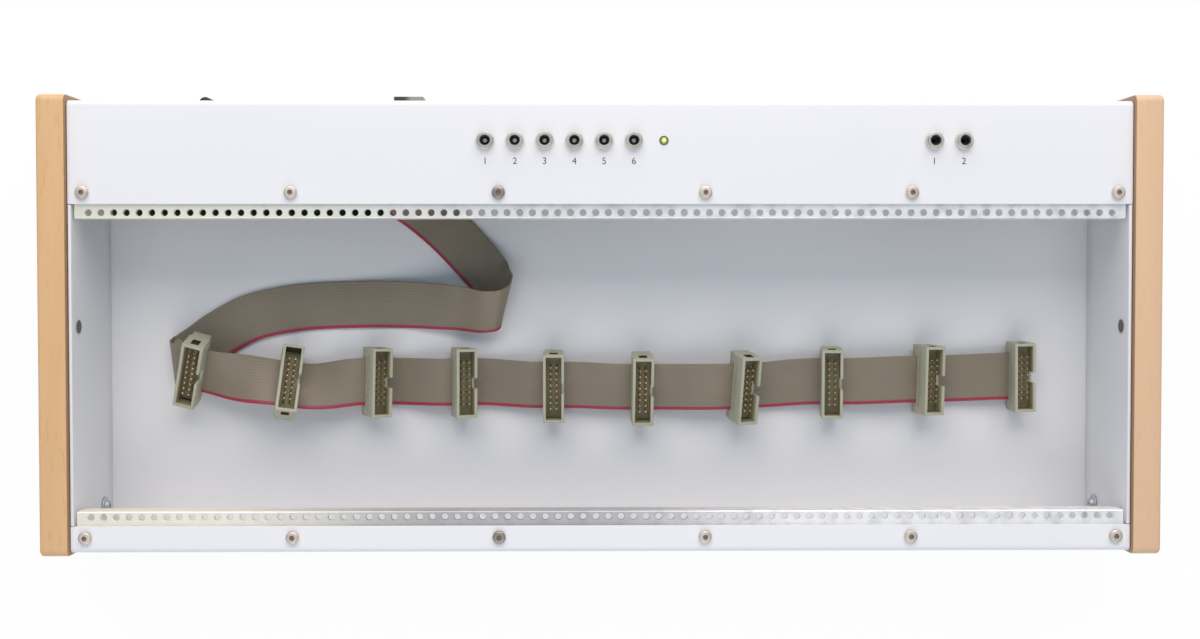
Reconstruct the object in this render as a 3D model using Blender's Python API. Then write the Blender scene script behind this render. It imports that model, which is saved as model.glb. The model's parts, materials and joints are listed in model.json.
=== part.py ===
"""An 84 HP eurorack case: folded white shell between two beech cheeks, hole-row rails,
a flat bus ribbon with ten box headers, a jack board under the top panel and rear connectors.

The case lies on its feet. +X is right, +Y is the rear, +Z is up, out of the module bay.
The origin is on the surface under the feet, in the middle of the whole outline.
"""

import math

import bmesh
import bpy
from mathutils import Matrix, Vector

# Clearances
seat_gap = 0.0003  # between a piece and what it rests on or passes through
cut_overrun = 0.001  # how far every cutter runs past the face it cuts
fuse_depth = 0.0002  # how far fused shapes sink into each other

# Driving dimensions of the case
sheet_thickness = 0.0012
bend_inside_radius = 0.001
bend_steps = 3
inner_depth = 0.050  # floor to the underside of the top panel
opening_margin = 0.00345  # from a row of module holes to the edge of the opening
top_panel_depth = 0.0414  # rear wall to the opening
lip_depth = 0.0107  # front wall to the opening
foot_height = 0.0042
end_plate_thickness = 0.0012

# Rails
hole_pitch = 0.00508
hole_count = 82
module_row_spacing = 0.1225
module_hole_diameter = 0.0027
module_hole_sides = 6
rail_end_margin = 0.00546  # from the last module hole to the rail's end
rail_end_gap = 0.0010  # from the rail's end to the end plate
rail_plate_thickness = 0.0020
rail_flange_thickness = 0.0010
rail_flange_depth = 0.0090
rail_inner_edge = 0.0024  # from the hole row to the edge on the bay's side
rail_outer_edge = 0.0119  # from the hole row to the edge under the sheet

# Screws through the sheet into the rails
panel_screw_count = 6
panel_screw_end_inset = 0.0037  # from the rail's end to the last screw
panel_screw_offset = 0.0080  # from the module hole row to the screw row
panel_screw_length = 0.0080
screw_thread_diameter = 0.0030
screw_head_diameter = 0.0058
screw_head_height = 0.0016
screw_head_rim = 0.0008
screw_head_crown_share = 0.72
screw_socket_width = 0.0020  # across the corners of the hexagon socket
screw_socket_depth = 0.0009
screw_sides = 10

# Tabs bent in from the end plates to carry the rails' ends
tab_length = 0.0095
tab_width = 0.0076
tab_window_height = 0.0090

# Wooden cheeks
cheek_thickness = 0.0115
cheek_rear_overhang = 0.0023
cheek_front_overhang = 0.0012
cheek_proud = 0.0025  # how far a cheek stands above the top panel
cheek_ground_gap = 0.0015  # from the surface to the cheek's lower edge
cheek_corner_radius = 0.0030
cheek_edge_radius = 0.0013
cheek_corner_steps = 3
cheek_edge_steps = 2

# Wood screws that hold the cheeks from inside the bay
wood_screw_diameter = 0.0035
wood_screw_bite = 0.0088  # length inside the cheek
wood_screw_point_share = 0.3
wood_head_rim_share = 0.35
wood_head_crown_share = 0.68
washer_head_diameter = 0.0080
washer_head_height = 0.0022
flat_head_diameter = 0.0054
flat_head_height = 0.0009
flat_socket_share = 0.7
corner_screw_inset = 0.0133  # from the front or rear face
corner_screw_height = 0.0120  # above the floor
middle_screw_drop = 0.0080  # below the top panel's outer face

# Feet
foot_diameter = 0.0120
foot_waist_diameter = 0.0136
foot_inset_x = 0.0300
foot_inset_y = 0.0180
foot_recess_diameter = 0.0060
foot_recess_depth = 0.0016
foot_sides = 12

# Jacks, their nuts and boards
jack_pitch = 0.01191
first_jack_x = -0.0468
jack_count = 6
out_jack_x = 0.1334
out_jack_count = 2
jack_rear_inset = 0.0161  # from the rear wall's outer face to the jacks' row
jack_body_width = 0.0090
jack_body_depth = 0.0105
jack_body_height = 0.0092
bushing_diameter = 0.0060
bushing_rise = 0.0029  # above the top panel
jack_bore_diameter = 0.0037
jack_bore_depth = 0.0110
jack_sides = 10
nut_diameter = 0.0080
nut_height = 0.0020
nut_chamfer = 0.0004
nut_sides = 14
led_x = 0.0248
led_diameter = 0.0032
led_rise = 0.0012
board_thickness = 0.0016
main_board_end_gap = 0.0132  # from the end plate to the main board
main_board_right = 0.0340
board_rear_gap = 0.0030  # from the rear wall's inner face
board_depth = 0.0350
power_board_right = -0.0860
power_board_gap = 0.0005  # from the rail's flange to the part of the board under its holes
out_board_left = 0.1180
out_board_right = 0.1610

# Rear connectors
usb_x = -0.0788
usb_width = 0.0120
usb_height = 0.0109
usb_depth = 0.0160
usb_rise = 0.0032  # out of the rear wall
usb_wall = 0.0006
usb_bore_depth = 0.0088
usb_tongue_width = 0.0056
usb_tongue_height = 0.0032
usb_tongue_length = 0.0080
din_x = -0.0450
din_width = 0.0200
din_height = 0.0190
din_depth = 0.0130
din_face_diameter = 0.0150
din_face_rise = 0.0008
din_pin_radius = 0.0035
din_pin_hole_diameter = 0.0020
din_pin_hole_depth = 0.0060
din_pin_count = 5
din_pin_step_degrees = 45
line_jack_first_x = 0.1295
line_jack_pitch = 0.0200
line_jack_width = 0.0160
line_jack_height = 0.0145
line_jack_depth = 0.0230
line_bushing_diameter = 0.0100
line_nut_diameter = 0.0140
line_nut_rise = 0.0024
line_bore_diameter = 0.0066
line_bore_depth = 0.0210
dc_x = -0.1300
dc_height = 0.0160  # above the floor
dc_flange_diameter = 0.0140
dc_flange_rise = 0.0018
dc_body_diameter = 0.0108
dc_body_depth = 0.0150
dc_bore_diameter = 0.0058
dc_bore_depth = 0.0095
dc_pin_diameter = 0.0021
dc_pin_inset = 0.0010

# Power switch
switch_x = -0.1574
switch_drop = 0.0230  # from the top panel's outer face to the pivot
bezel_width = 0.0210
bezel_height = 0.0150
bezel_rise = 0.0015
bezel_flare = 0.0006
switch_body_width = 0.0196
switch_body_height = 0.0130
switch_body_depth = 0.0150
rocker_width = 0.0160
rocker_height = 0.0106
rocker_edge = 0.0032  # from the pivot out to the rocker's tips
rocker_valley = 0.0017  # from the pivot out to the valley between the tips
rocker_heel = 0.0010  # from the pivot in to the end of the flat sides
rocker_root = 0.0036  # from the pivot in to the narrow underside
rocker_root_share = 0.36
rocker_tilt_degrees = 9
pivot_inset = 0.0004  # from the rear wall's outer face in to the pivot
rocker_well_gap = 0.0004  # between the swinging tips and the well
rocker_well_floor = 0.0014  # below the underside

# Flat ribbon and its box headers
ribbon_width = 0.0203
ribbon_thickness = 0.0009
ribbon_step = 0.0060
ribbon_turn_degrees = 16
header_length = 0.0300
header_width = 0.0090
header_rise = 0.0095  # from the ribbon to the open top
header_foot = 0.0046  # from the ribbon to the clamp's underside
header_clamp_width = 0.0076
header_wall = 0.0012
header_cavity_depth = 0.0068
header_key_width = 0.0045
header_key_depth = 0.0058
header_end_notch_width = 0.0034
header_end_notch_depth = 0.0030
header_end_notch_drop = 0.0022
header_straight = 0.0050  # how far the ribbon runs straight from a header's middle
first_header_skew_degrees = 10  # the fold before the first header runs into it
pin_pitch = 0.00254
pin_columns = 8
pin_rows = 2
pin_size = 0.00064
pin_length = 0.0056
board_header_height = 0.0088
board_header_width = 0.0090
board_header_length = 0.0300
socket_nose_depth = 0.0066
socket_body_height = 0.0046

# Where the ribbon leaves its board
ribbon_socket_x = -0.1180
ribbon_socket_rear_inset = 0.0221
ribbon_socket_rise = 0.0256  # from the floor to the ribbon
ribbon_grip = 0.0022  # how far the ribbon's end reaches past the socket's middle

# Places that follow from the sizes
rail_length = (hole_count - 1) * hole_pitch + 2 * rail_end_margin
bay_width = rail_length + 2 * rail_end_gap
panel_screw_pitch = (rail_length - 2 * panel_screw_end_inset) / (panel_screw_count - 1)
case_depth = top_panel_depth + lip_depth + module_row_spacing + 2 * opening_margin
tilt = math.radians(rocker_tilt_degrees)
rocker_tip_rise = rocker_edge * math.cos(tilt) + rocker_width / 2 * math.sin(tilt)
rocker_reach = rocker_tip_rise - pivot_inset
rear_reach = max(rocker_reach, cheek_rear_overhang)
rear_y = (case_depth + cheek_front_overhang - rear_reach) / 2
front_y = rear_y - case_depth
opening_rear_y = rear_y - top_panel_depth
opening_front_y = front_y + lip_depth
upper_row_y = opening_rear_y - opening_margin
lower_row_y = opening_front_y + opening_margin
bay_middle_y = (upper_row_y + lower_row_y) / 2
case_bottom_z = foot_height + seat_gap
floor_z = case_bottom_z + sheet_thickness
panel_under_z = floor_z + inner_depth
panel_top_z = panel_under_z + sheet_thickness
cheek_top_z = panel_top_z + cheek_proud
end_inner_x = bay_width / 2
end_outer_x = end_inner_x + end_plate_thickness
cheek_inner_x = end_outer_x + seat_gap
rail_top_z = panel_under_z - seat_gap
rail_under_z = rail_top_z - rail_plate_thickness
jack_row_y = rear_y - jack_rear_inset
jack_body_top_z = panel_under_z - seat_gap
jack_body_under_z = jack_body_top_z - jack_body_height
board_top_z = jack_body_under_z - seat_gap
board_under_z = board_top_z - board_thickness
board_header_under_z = board_under_z - seat_gap - board_header_height
rear_inner_y = rear_y - sheet_thickness
board_rear_y = rear_inner_y - board_rear_gap
board_front_y = board_rear_y - board_depth
power_board_front_y = upper_row_y - rail_inner_edge + rail_flange_thickness + power_board_gap
main_board_left = main_board_end_gap - end_inner_x
pivot_y = rear_y - pivot_inset
pivot_z = panel_top_z - switch_drop
usb_z = board_under_z - seat_gap - usb_height / 2
din_z = board_under_z - seat_gap - din_height / 2
line_jack_z = board_under_z - seat_gap - line_jack_height / 2
dc_z = floor_z + dc_height
bend_outside_radius = bend_inside_radius + sheet_thickness


def clear_scene():
    for thing in list(bpy.data.objects):
        bpy.data.objects.remove(thing, do_unlink=True)


def make_material(name, colour, roughness, metallic=0.0):
    material = bpy.data.materials.new(name)
    material.use_nodes = True
    shader = material.node_tree.nodes["Principled BSDF"]
    shader.inputs["Base Color"].default_value = (*colour, 1.0)
    shader.inputs["Roughness"].default_value = roughness
    shader.inputs["Metallic"].default_value = metallic
    return material


def mesh_from(bm, name):
    bmesh.ops.recalc_face_normals(bm, faces=bm.faces)
    mesh = bpy.data.meshes.new(name)
    bm.to_mesh(mesh)
    bm.free()
    return mesh


def add_object(name, mesh, material, smooth_degrees=None):
    thing = bpy.data.objects.new(name, mesh)
    bpy.context.scene.collection.objects.link(thing)
    if material is not None:
        mesh.materials.clear()
        mesh.materials.append(material)
    if smooth_degrees is not None:
        mesh.shade_smooth()
        mesh.set_sharp_from_angle(angle=math.radians(smooth_degrees))
    return thing


def boolean(thing, operation, bm, name):
    """Cuts a shape from a piece, or fuses one to it."""
    helper = add_object(name, mesh_from(bm, name), None)
    helper.hide_render = True
    helper.display_type = "WIRE"
    modifier = thing.modifiers.new(name, "BOOLEAN")
    modifier.operation = operation
    modifier.solver = "EXACT"
    modifier.object = helper
    return helper


def box(bm, low, high):
    """Adds a box between two corners."""
    size = [high[i] - low[i] for i in range(3)]
    middle = [(high[i] + low[i]) / 2 for i in range(3)]
    matrix = Matrix.Translation(middle) @ Matrix.Diagonal((*size, 1))
    bmesh.ops.create_cube(bm, size=1, matrix=matrix)


def turned(bm, profile, sides, centre, axis="Z", turn=0.0):
    """Adds a solid of rings along an axis. The profile is (distance along, radius) from start to end."""
    rotation = {
        "Z": Matrix.Identity(3),
        "Y": Matrix(((1, 0, 0), (0, 0, 1), (0, -1, 0))),
        "X": Matrix(((0, 0, 1), (0, 1, 0), (-1, 0, 0))),
    }[axis]
    rings = []
    for along, radius in profile:
        ring = []
        for i in range(sides):
            angle = turn + 2 * math.pi * (i + 0.5) / sides
            point = Vector((radius * math.cos(angle), radius * math.sin(angle), along))
            ring.append(bm.verts.new(Vector(centre) + rotation @ point))
        rings.append(ring)
    bm.faces.new(rings[0])
    bm.faces.new(rings[-1])
    for lower, upper in zip(rings, rings[1:]):
        for i in range(sides):
            j = (i + 1) % sides
            bm.faces.new((lower[i], lower[j], upper[j], upper[i]))


def drum(bm, radius, start, end, sides, centre, axis="Z", turn=0.0):
    turned(bm, [(start, radius), (end, radius)], sides, centre, axis, turn)


def prism(bm, outline, start, end, place):
    """Extrudes a closed outline. place(u, v, w) puts an outline point at height w."""
    first = [bm.verts.new(place(u, v, start)) for u, v in outline]
    last = [bm.verts.new(place(u, v, end)) for u, v in outline]
    bm.faces.new(first)
    bm.faces.new(last)
    for i in range(len(outline)):
        j = (i + 1) % len(outline)
        bm.faces.new((first[i], first[j], last[j], last[i]))


def along_x(u, v, w):
    return Vector((w, u, v))


def along_y(u, v, w):
    return Vector((u, w, v))


def along_z(u, v, w):
    return Vector((u, v, w))


def rounded_rectangle(u0, v0, u1, v1, radius, steps):
    outline = []
    corners = ((u1, v1, 0), (u0, v1, 90), (u0, v0, 180), (u1, v0, 270))
    for u, v, start in corners:
        centre_u = u - radius if u == u1 else u + radius
        centre_v = v - radius if v == v1 else v + radius
        for i in range(steps + 1):
            angle = math.radians(start + 90 * i / steps)
            outline.append((centre_u + radius * math.cos(angle), centre_v + radius * math.sin(angle)))
    return outline


def folded_outline(corners, thickness, inside_radius, steps):
    """The section of a sheet bent square at each inner corner, always towards its left side."""
    points = [Vector(corner) for corner in corners]
    directions = [(b - a).normalized() for a, b in zip(points, points[1:])]
    outer = [points[0]]
    inner = [points[0] + thickness * Vector((-directions[0].y, directions[0].x))]
    outside_radius = inside_radius + thickness
    for corner, before, after in zip(points[1:-1], directions, directions[1:]):
        centre = corner - before * outside_radius + after * outside_radius
        for i in range(steps + 1):
            angle = math.radians(90 * i / steps)
            ray = before * math.sin(angle) - after * math.cos(angle)
            outer.append(centre + ray * outside_radius)
            inner.append(centre + ray * inside_radius)
    outer.append(points[-1])
    inner.append(points[-1] + thickness * Vector((-directions[-1].y, directions[-1].x)))
    return [tuple(p) for p in outer + inner[::-1]]


def panel_screw_places():
    middle = (panel_screw_count - 1) / 2
    for row, sign, row_y in (("upper", 1, upper_row_y), ("lower", -1, lower_row_y)):
        for i in range(panel_screw_count):
            x = (i - middle) * panel_screw_pitch
            yield f"rail_screw_{row}_{i + 1}", x, row_y + sign * panel_screw_offset


def jack_places():
    places = [(f"jack_{i + 1}", first_jack_x + i * jack_pitch) for i in range(jack_count)]
    for i in range(out_jack_count):
        places.append((f"out_jack_{i + 1}", out_jack_x + i * jack_pitch))
    return places


def cheek_screw_places():
    """Name, place along Y, height, head diameter and head height of each cheek screw on one side."""
    low = floor_z + corner_screw_height
    return (
        ("front", front_y + corner_screw_inset, low, washer_head_diameter, washer_head_height),
        (
            "middle",
            (front_y + rear_y) / 2,
            panel_top_z - middle_screw_drop,
            flat_head_diameter,
            flat_head_height,
        ),
        ("rear", rear_y - corner_screw_inset, low, washer_head_diameter, washer_head_height),
    )


def line_jack_places():
    return [line_jack_first_x + i * line_jack_pitch for i in range(out_jack_count)]


def foot_places():
    x = end_inner_x - foot_inset_x
    for side, sign in (("left", -1), ("right", 1)):
        yield f"foot_front_{side}", sign * x, front_y + foot_inset_y
        yield f"foot_rear_{side}", sign * x, rear_y - foot_inset_y


def make_shell(material):
    """One sheet folded round the bay: lip, front wall, floor, rear wall and top panel."""
    corners = (
        (opening_rear_y, panel_top_z),
        (rear_y, panel_top_z),
        (rear_y, case_bottom_z),
        (front_y, case_bottom_z),
        (front_y, panel_top_z),
        (opening_front_y, panel_top_z),
    )
    mirrored = [(-y, z) for y, z in corners]
    outline = folded_outline(mirrored, sheet_thickness, bend_inside_radius, bend_steps)
    outline = [(-y, z) for y, z in outline]
    half = end_inner_x - seat_gap
    bm = bmesh.new()
    prism(bm, outline, -half, half, along_x)
    shell = add_object("case_shell", mesh_from(bm, "case_shell"), material, 35)

    holes = bmesh.new()
    panel_span = (panel_under_z - cut_overrun, panel_top_z + cut_overrun)
    screw_radius = screw_thread_diameter / 2 + seat_gap
    for _, x, y in panel_screw_places():
        drum(holes, screw_radius, *panel_span, screw_sides, (x, y, 0))
    bushing_radius = bushing_diameter / 2 + seat_gap
    for _, x in jack_places():
        drum(holes, bushing_radius, *panel_span, jack_sides, (x, jack_row_y, 0))
    drum(holes, led_diameter / 2 + seat_gap, *panel_span, jack_sides, (led_x, jack_row_y, 0))

    wall_span = (rear_inner_y - cut_overrun, rear_y + cut_overrun)
    for x, z, width, height in (
        (usb_x, usb_z, usb_width, usb_height),
        (switch_x, pivot_z, switch_body_width, switch_body_height),
    ):
        half_width = width / 2 + seat_gap
        half_height = height / 2 + seat_gap
        box(
            holes,
            (x - half_width, wall_span[0], z - half_height),
            (x + half_width, wall_span[1], z + half_height),
        )
    for x, z, diameter in (
        (din_x, din_z, din_face_diameter),
        (dc_x, dc_z, dc_body_diameter),
        *((x, line_jack_z, line_bushing_diameter) for x in line_jack_places()),
    ):
        drum(holes, diameter / 2 + seat_gap, *wall_span, 16, (x, 0, z), "Y")
    boolean(shell, "DIFFERENCE", holes, "shell_holes")


def make_end_plate(side, sign, material):
    """A flat end wall with two tabs lanced and bent in to carry the rails' ends."""
    outline = rounded_rectangle(
        front_y, case_bottom_z, rear_y, panel_top_z, bend_outside_radius, bend_steps
    )
    bm = bmesh.new()
    prism(bm, outline, sign * end_inner_x, sign * end_outer_x, along_x)
    plate = add_object(f"end_plate_{side}", mesh_from(bm, f"end_plate_{side}"), material, 35)

    tabs = bmesh.new()
    windows = bmesh.new()
    tab_top = rail_under_z - seat_gap
    tab_under = tab_top - end_plate_thickness
    tab_tip = end_inner_x - tab_length
    for row_sign, row_y in ((1, upper_row_y), (-1, lower_row_y)):
        y = row_y + row_sign * panel_screw_offset
        y0 = y - tab_width / 2
        y1 = y + tab_width / 2
        xs = sorted((sign * tab_tip, sign * (end_outer_x - fuse_depth)))
        box(tabs, (xs[0], y0, tab_under), (xs[1], y1, tab_top))
        xs = sorted((sign * (end_inner_x - cut_overrun / 2), sign * (end_outer_x + cut_overrun)))
        box(windows, (xs[0], y0, tab_under - tab_window_height), (xs[1], y1, tab_under))
    boolean(plate, "UNION", tabs, f"tabs_{side}")

    screw_radius = screw_thread_diameter / 2 + seat_gap
    middle = (panel_screw_count - 1) / 2
    for row_sign, row_y in ((1, upper_row_y), (-1, lower_row_y)):
        centre = (sign * middle * panel_screw_pitch, row_y + row_sign * panel_screw_offset, 0)
        span = (tab_under - cut_overrun, tab_top + cut_overrun)
        drum(windows, screw_radius, *span, screw_sides, centre)
    wood_radius = wood_screw_diameter / 2 + seat_gap
    xs = sorted((sign * (end_inner_x - cut_overrun), sign * (end_outer_x + cut_overrun)))
    for _, y, z, _, _ in cheek_screw_places():
        drum(windows, wood_radius, *xs, screw_sides, (0, y, z), "X")
    boolean(plate, "DIFFERENCE", windows, f"plate_holes_{side}")


def make_cheek(side, sign, material):
    """A beech side panel with rounded corners and eased edges, drilled for its three screws."""
    outline = rounded_rectangle(
        front_y - cheek_front_overhang,
        cheek_ground_gap,
        rear_y + cheek_rear_overhang,
        cheek_top_z,
        cheek_corner_radius,
        cheek_corner_steps,
    )
    bm = bmesh.new()
    prism(bm, outline, sign * cheek_inner_x, sign * (cheek_inner_x + cheek_thickness), along_x)
    rims = [edge for edge in bm.edges if abs(edge.verts[0].co.x - edge.verts[1].co.x) < fuse_depth]
    bmesh.ops.bevel(
        bm,
        geom=rims,
        offset=cheek_edge_radius,
        segments=cheek_edge_steps,
        profile=0.5,
        affect="EDGES",
        material=-1,
    )
    cheek = add_object(f"side_cheek_{side}", mesh_from(bm, f"side_cheek_{side}"), material, 40)

    pilots = bmesh.new()
    radius = wood_screw_diameter / 2 + seat_gap
    depth = wood_screw_bite + seat_gap
    xs = sorted((sign * (cheek_inner_x - cut_overrun), sign * (cheek_inner_x + depth)))
    for _, y, z, _, _ in cheek_screw_places():
        drum(pilots, radius, *xs, screw_sides, (0, y, z), "X")
    boolean(cheek, "DIFFERENCE", pilots, f"pilot_holes_{side}")


def make_rail(name, sign, row_y, material):
    """An angle with a row of tapped holes; its flange hangs at the bay's side."""
    inner = row_y - sign * rail_inner_edge
    outer = row_y + sign * rail_outer_edge
    outline = (
        (inner, rail_top_z),
        (outer, rail_top_z),
        (outer, rail_under_z),
        (inner + sign * rail_flange_thickness, rail_under_z),
        (inner + sign * rail_flange_thickness, rail_top_z - rail_flange_depth),
        (inner, rail_top_z - rail_flange_depth),
    )
    bm = bmesh.new()
    prism(bm, outline, -rail_length / 2, rail_length / 2, along_x)
    rail = add_object(name, mesh_from(bm, name), material)

    holes = bmesh.new()
    span = (rail_under_z - cut_overrun, rail_top_z + cut_overrun)
    middle = (hole_count - 1) / 2
    for i in range(hole_count):
        x = (i - middle) * hole_pitch
        drum(holes, module_hole_diameter / 2, *span, module_hole_sides, (x, row_y, 0))
    screw_radius = screw_thread_diameter / 2 + seat_gap
    for screw_name, x, y in panel_screw_places():
        if name.split("_")[1] in screw_name:
            drum(holes, screw_radius, *span, screw_sides, (x, y, 0))
    boolean(rail, "DIFFERENCE", holes, f"{name}_holes")


def make_panel_screws(material):
    """Low pan-head screws with hexagon sockets; all twelve share one mesh."""
    radius = screw_head_diameter / 2
    bm = bmesh.new()
    turned(
        bm,
        [
            (-panel_screw_length, screw_thread_diameter / 2),
            (0, screw_thread_diameter / 2),
            (0, radius),
            (screw_head_rim, radius),
            (screw_head_height, radius * screw_head_crown_share),
        ],
        screw_sides,
        (0, 0, 0),
    )
    head = add_object("screw_form", mesh_from(bm, "screw_form"), None)
    socket = bmesh.new()
    span = (screw_head_height - screw_socket_depth, screw_head_height + cut_overrun)
    drum(socket, screw_socket_width / 2, *span, 6, (0, 0, 0))
    boolean(head, "DIFFERENCE", socket, "screw_socket")
    mesh = applied_mesh(head, "panel_screw")
    for name, x, y in panel_screw_places():
        screw = add_object(name, mesh.copy(), material, 35)
        screw.location = (x, y, panel_top_z + seat_gap)


def applied_mesh(thing, name):
    """The mesh of an object with its modifiers applied; the object and its cutters are removed."""
    bpy.context.view_layer.update()
    graph = bpy.context.evaluated_depsgraph_get()
    mesh = bpy.data.meshes.new_from_object(thing.evaluated_get(graph))
    mesh.name = name
    helpers = [modifier.object for modifier in thing.modifiers if modifier.type == "BOOLEAN"]
    bpy.data.objects.remove(thing, do_unlink=True)
    for helper in helpers:
        bpy.data.objects.remove(helper, do_unlink=True)
    return mesh


def make_cheek_screws(side, sign, material, dark_material):
    """Washer-head wood screws low in the corners and a flush flat one in the middle."""
    for place, y, z, head_diameter, head_height in cheek_screw_places():
        radius = head_diameter / 2
        root = end_inner_x - seat_gap
        tip = cheek_inner_x + wood_screw_bite
        shank = wood_screw_diameter / 2
        profile = [
            (sign * (root - head_height), radius * wood_head_crown_share),
            (sign * (root - head_height * wood_head_rim_share), radius),
            (sign * root, radius),
            (sign * root, shank),
            (sign * (tip - wood_screw_diameter), shank),
            (sign * tip, shank * wood_screw_point_share),
        ]
        name = f"cheek_screw_{side}_{place}"
        bm = bmesh.new()
        turned(bm, profile, screw_sides, (0, y, z), "X")
        finish = dark_material if place == "middle" else material
        screw = add_object(name, mesh_from(bm, name), finish, 35)
        socket = bmesh.new()
        face = root - head_height
        reach = min(screw_socket_depth, head_height * flat_socket_share)
        xs = sorted((sign * (face - cut_overrun), sign * (face + reach)))
        drum(socket, screw_socket_width / 2, *xs, 6, (0, y, z), "X")
        boolean(screw, "DIFFERENCE", socket, f"{name}_socket")


def make_feet(material):
    for name, x, y in foot_places():
        bm = bmesh.new()
        profile = [
            (0, foot_recess_diameter / 2),
            (0, foot_diameter / 2),
            (foot_height, foot_waist_diameter / 2),
            (foot_height, foot_recess_diameter / 4),
        ]
        turned(bm, profile, foot_sides, (x, y, 0))
        foot = add_object(name, mesh_from(bm, name), material, 35)
        recess = bmesh.new()
        span = (-cut_overrun, foot_recess_depth)
        drum(recess, foot_recess_diameter / 2, *span, foot_sides, (x, y, 0))
        boolean(foot, "DIFFERENCE", recess, f"{name}_recess")


def make_boards(material):
    """The main board, whose left part reaches under the rail's holes, and the out board."""
    for name, left, right in (
        ("main_board", main_board_left, main_board_right),
        ("out_board", out_board_left, out_board_right),
    ):
        bm = bmesh.new()
        outline = [
            (left, board_front_y),
            (right, board_front_y),
            (right, board_rear_y),
            (left, board_rear_y),
        ]
        if left < power_board_right < right:
            outline[0:1] = [
                (left, power_board_front_y),
                (power_board_right, power_board_front_y),
                (power_board_right, board_front_y),
            ]
        prism(bm, outline, board_under_z, board_top_z, along_z)
        board = add_object(name, mesh_from(bm, name), material)
        if left < led_x < right:
            pocket = bmesh.new()
            span = (board_top_z - board_thickness / 2, board_top_z + cut_overrun)
            drum(pocket, led_diameter / 2 + seat_gap, *span, jack_sides, (led_x, jack_row_y, 0))
            boolean(board, "DIFFERENCE", pocket, f"{name}_pocket")


def make_jacks(material):
    """Small sockets on the boards: a body, a bushing up through the panel and a nut round it."""
    nut_radius = nut_diameter / 2
    nut_seat = panel_top_z + seat_gap
    nut_profile = [
        (nut_seat, nut_radius),
        (nut_seat + nut_height - nut_chamfer, nut_radius),
        (nut_seat + nut_height, nut_radius - nut_chamfer),
    ]
    for name, x in jack_places():
        bm = bmesh.new()
        half_width = jack_body_width / 2
        half_depth = jack_body_depth / 2
        box(
            bm,
            (x - half_width, jack_row_y - half_depth, jack_body_under_z),
            (x + half_width, jack_row_y + half_depth, jack_body_top_z),
        )
        jack = add_object(name, mesh_from(bm, name), material, 35)
        bushing = bmesh.new()
        bushing_top = panel_top_z + bushing_rise
        span = (jack_body_top_z - fuse_depth, bushing_top)
        drum(bushing, bushing_diameter / 2, *span, jack_sides, (x, jack_row_y, 0))
        boolean(jack, "UNION", bushing, f"{name}_bushing")
        nut = bmesh.new()
        turned(nut, nut_profile, nut_sides, (x, jack_row_y, 0))
        boolean(jack, "UNION", nut, f"{name}_nut")
        bore = bmesh.new()
        span = (bushing_top - jack_bore_depth, bushing_top + cut_overrun)
        drum(bore, jack_bore_diameter / 2, *span, jack_sides, (x, jack_row_y, 0))
        boolean(jack, "DIFFERENCE", bore, f"{name}_bore")


def make_board_header(material):
    """A box header that hangs under the main board, open downwards for the ribbon's socket."""
    y = rear_y - ribbon_socket_rear_inset
    half_width = board_header_width / 2
    half_length = board_header_length / 2
    bm = bmesh.new()
    box(
        bm,
        (ribbon_socket_x - half_width, y - half_length, board_header_under_z),
        (ribbon_socket_x + half_width, y + half_length, board_under_z - seat_gap),
    )
    header = add_object("board_header", mesh_from(bm, "board_header"), material)
    hollow = bmesh.new()
    half_width -= header_wall
    half_length -= header_wall
    box(
        hollow,
        (ribbon_socket_x - half_width, y - half_length, board_header_under_z - cut_overrun),
        (
            ribbon_socket_x + half_width,
            y + half_length,
            board_header_under_z + socket_nose_depth + seat_gap,
        ),
    )
    boolean(header, "DIFFERENCE", hollow, "board_header_hollow")


def make_led(material):
    """A round lamp that stands on the board and shows its dome through the panel."""
    radius = led_diameter / 2
    top = panel_top_z + led_rise
    dome_steps = 3
    profile = [(board_top_z - board_thickness / 2 + seat_gap, radius), (top - radius, radius)]
    for i in range(1, dome_steps + 1):
        angle = math.radians(80 * i / dome_steps)
        profile.append((top - radius + radius * math.sin(angle), radius * math.cos(angle)))
    bm = bmesh.new()
    turned(bm, profile, jack_sides, (led_x, jack_row_y, 0))
    add_object("status_led", mesh_from(bm, "status_led"), material, 50)


def make_usb_socket(material):
    """A square metal shell with a tongue in its mouth, under the board's rear edge."""
    mouth_y = rear_y + usb_rise
    back_y = mouth_y - usb_depth
    bm = bmesh.new()
    box(
        bm,
        (usb_x - usb_width / 2, back_y, usb_z - usb_height / 2),
        (usb_x + usb_width / 2, mouth_y, usb_z + usb_height / 2),
    )
    socket = add_object("usb_socket", mesh_from(bm, "usb_socket"), material)
    half_width = usb_width / 2 - usb_wall
    half_height = usb_height / 2 - usb_wall
    chamfer = half_width / 3
    outline = (
        (-half_width, -half_height),
        (half_width, -half_height),
        (half_width, half_height - chamfer),
        (half_width - chamfer, half_height),
        (-half_width + chamfer, half_height),
        (-half_width, half_height - chamfer),
    )
    outline = [(usb_x + u, usb_z + v) for u, v in outline]
    cavity = bmesh.new()
    prism(cavity, outline, mouth_y - usb_bore_depth, mouth_y + cut_overrun, along_y)
    boolean(socket, "DIFFERENCE", cavity, "usb_cavity")
    tongue = bmesh.new()
    root_y = mouth_y - usb_bore_depth - fuse_depth
    box(
        tongue,
        (usb_x - usb_tongue_width / 2, root_y, usb_z - usb_tongue_height / 2),
        (usb_x + usb_tongue_width / 2, root_y + usb_tongue_length, usb_z + usb_tongue_height / 2),
    )
    boolean(socket, "UNION", tongue, "usb_tongue")


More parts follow.
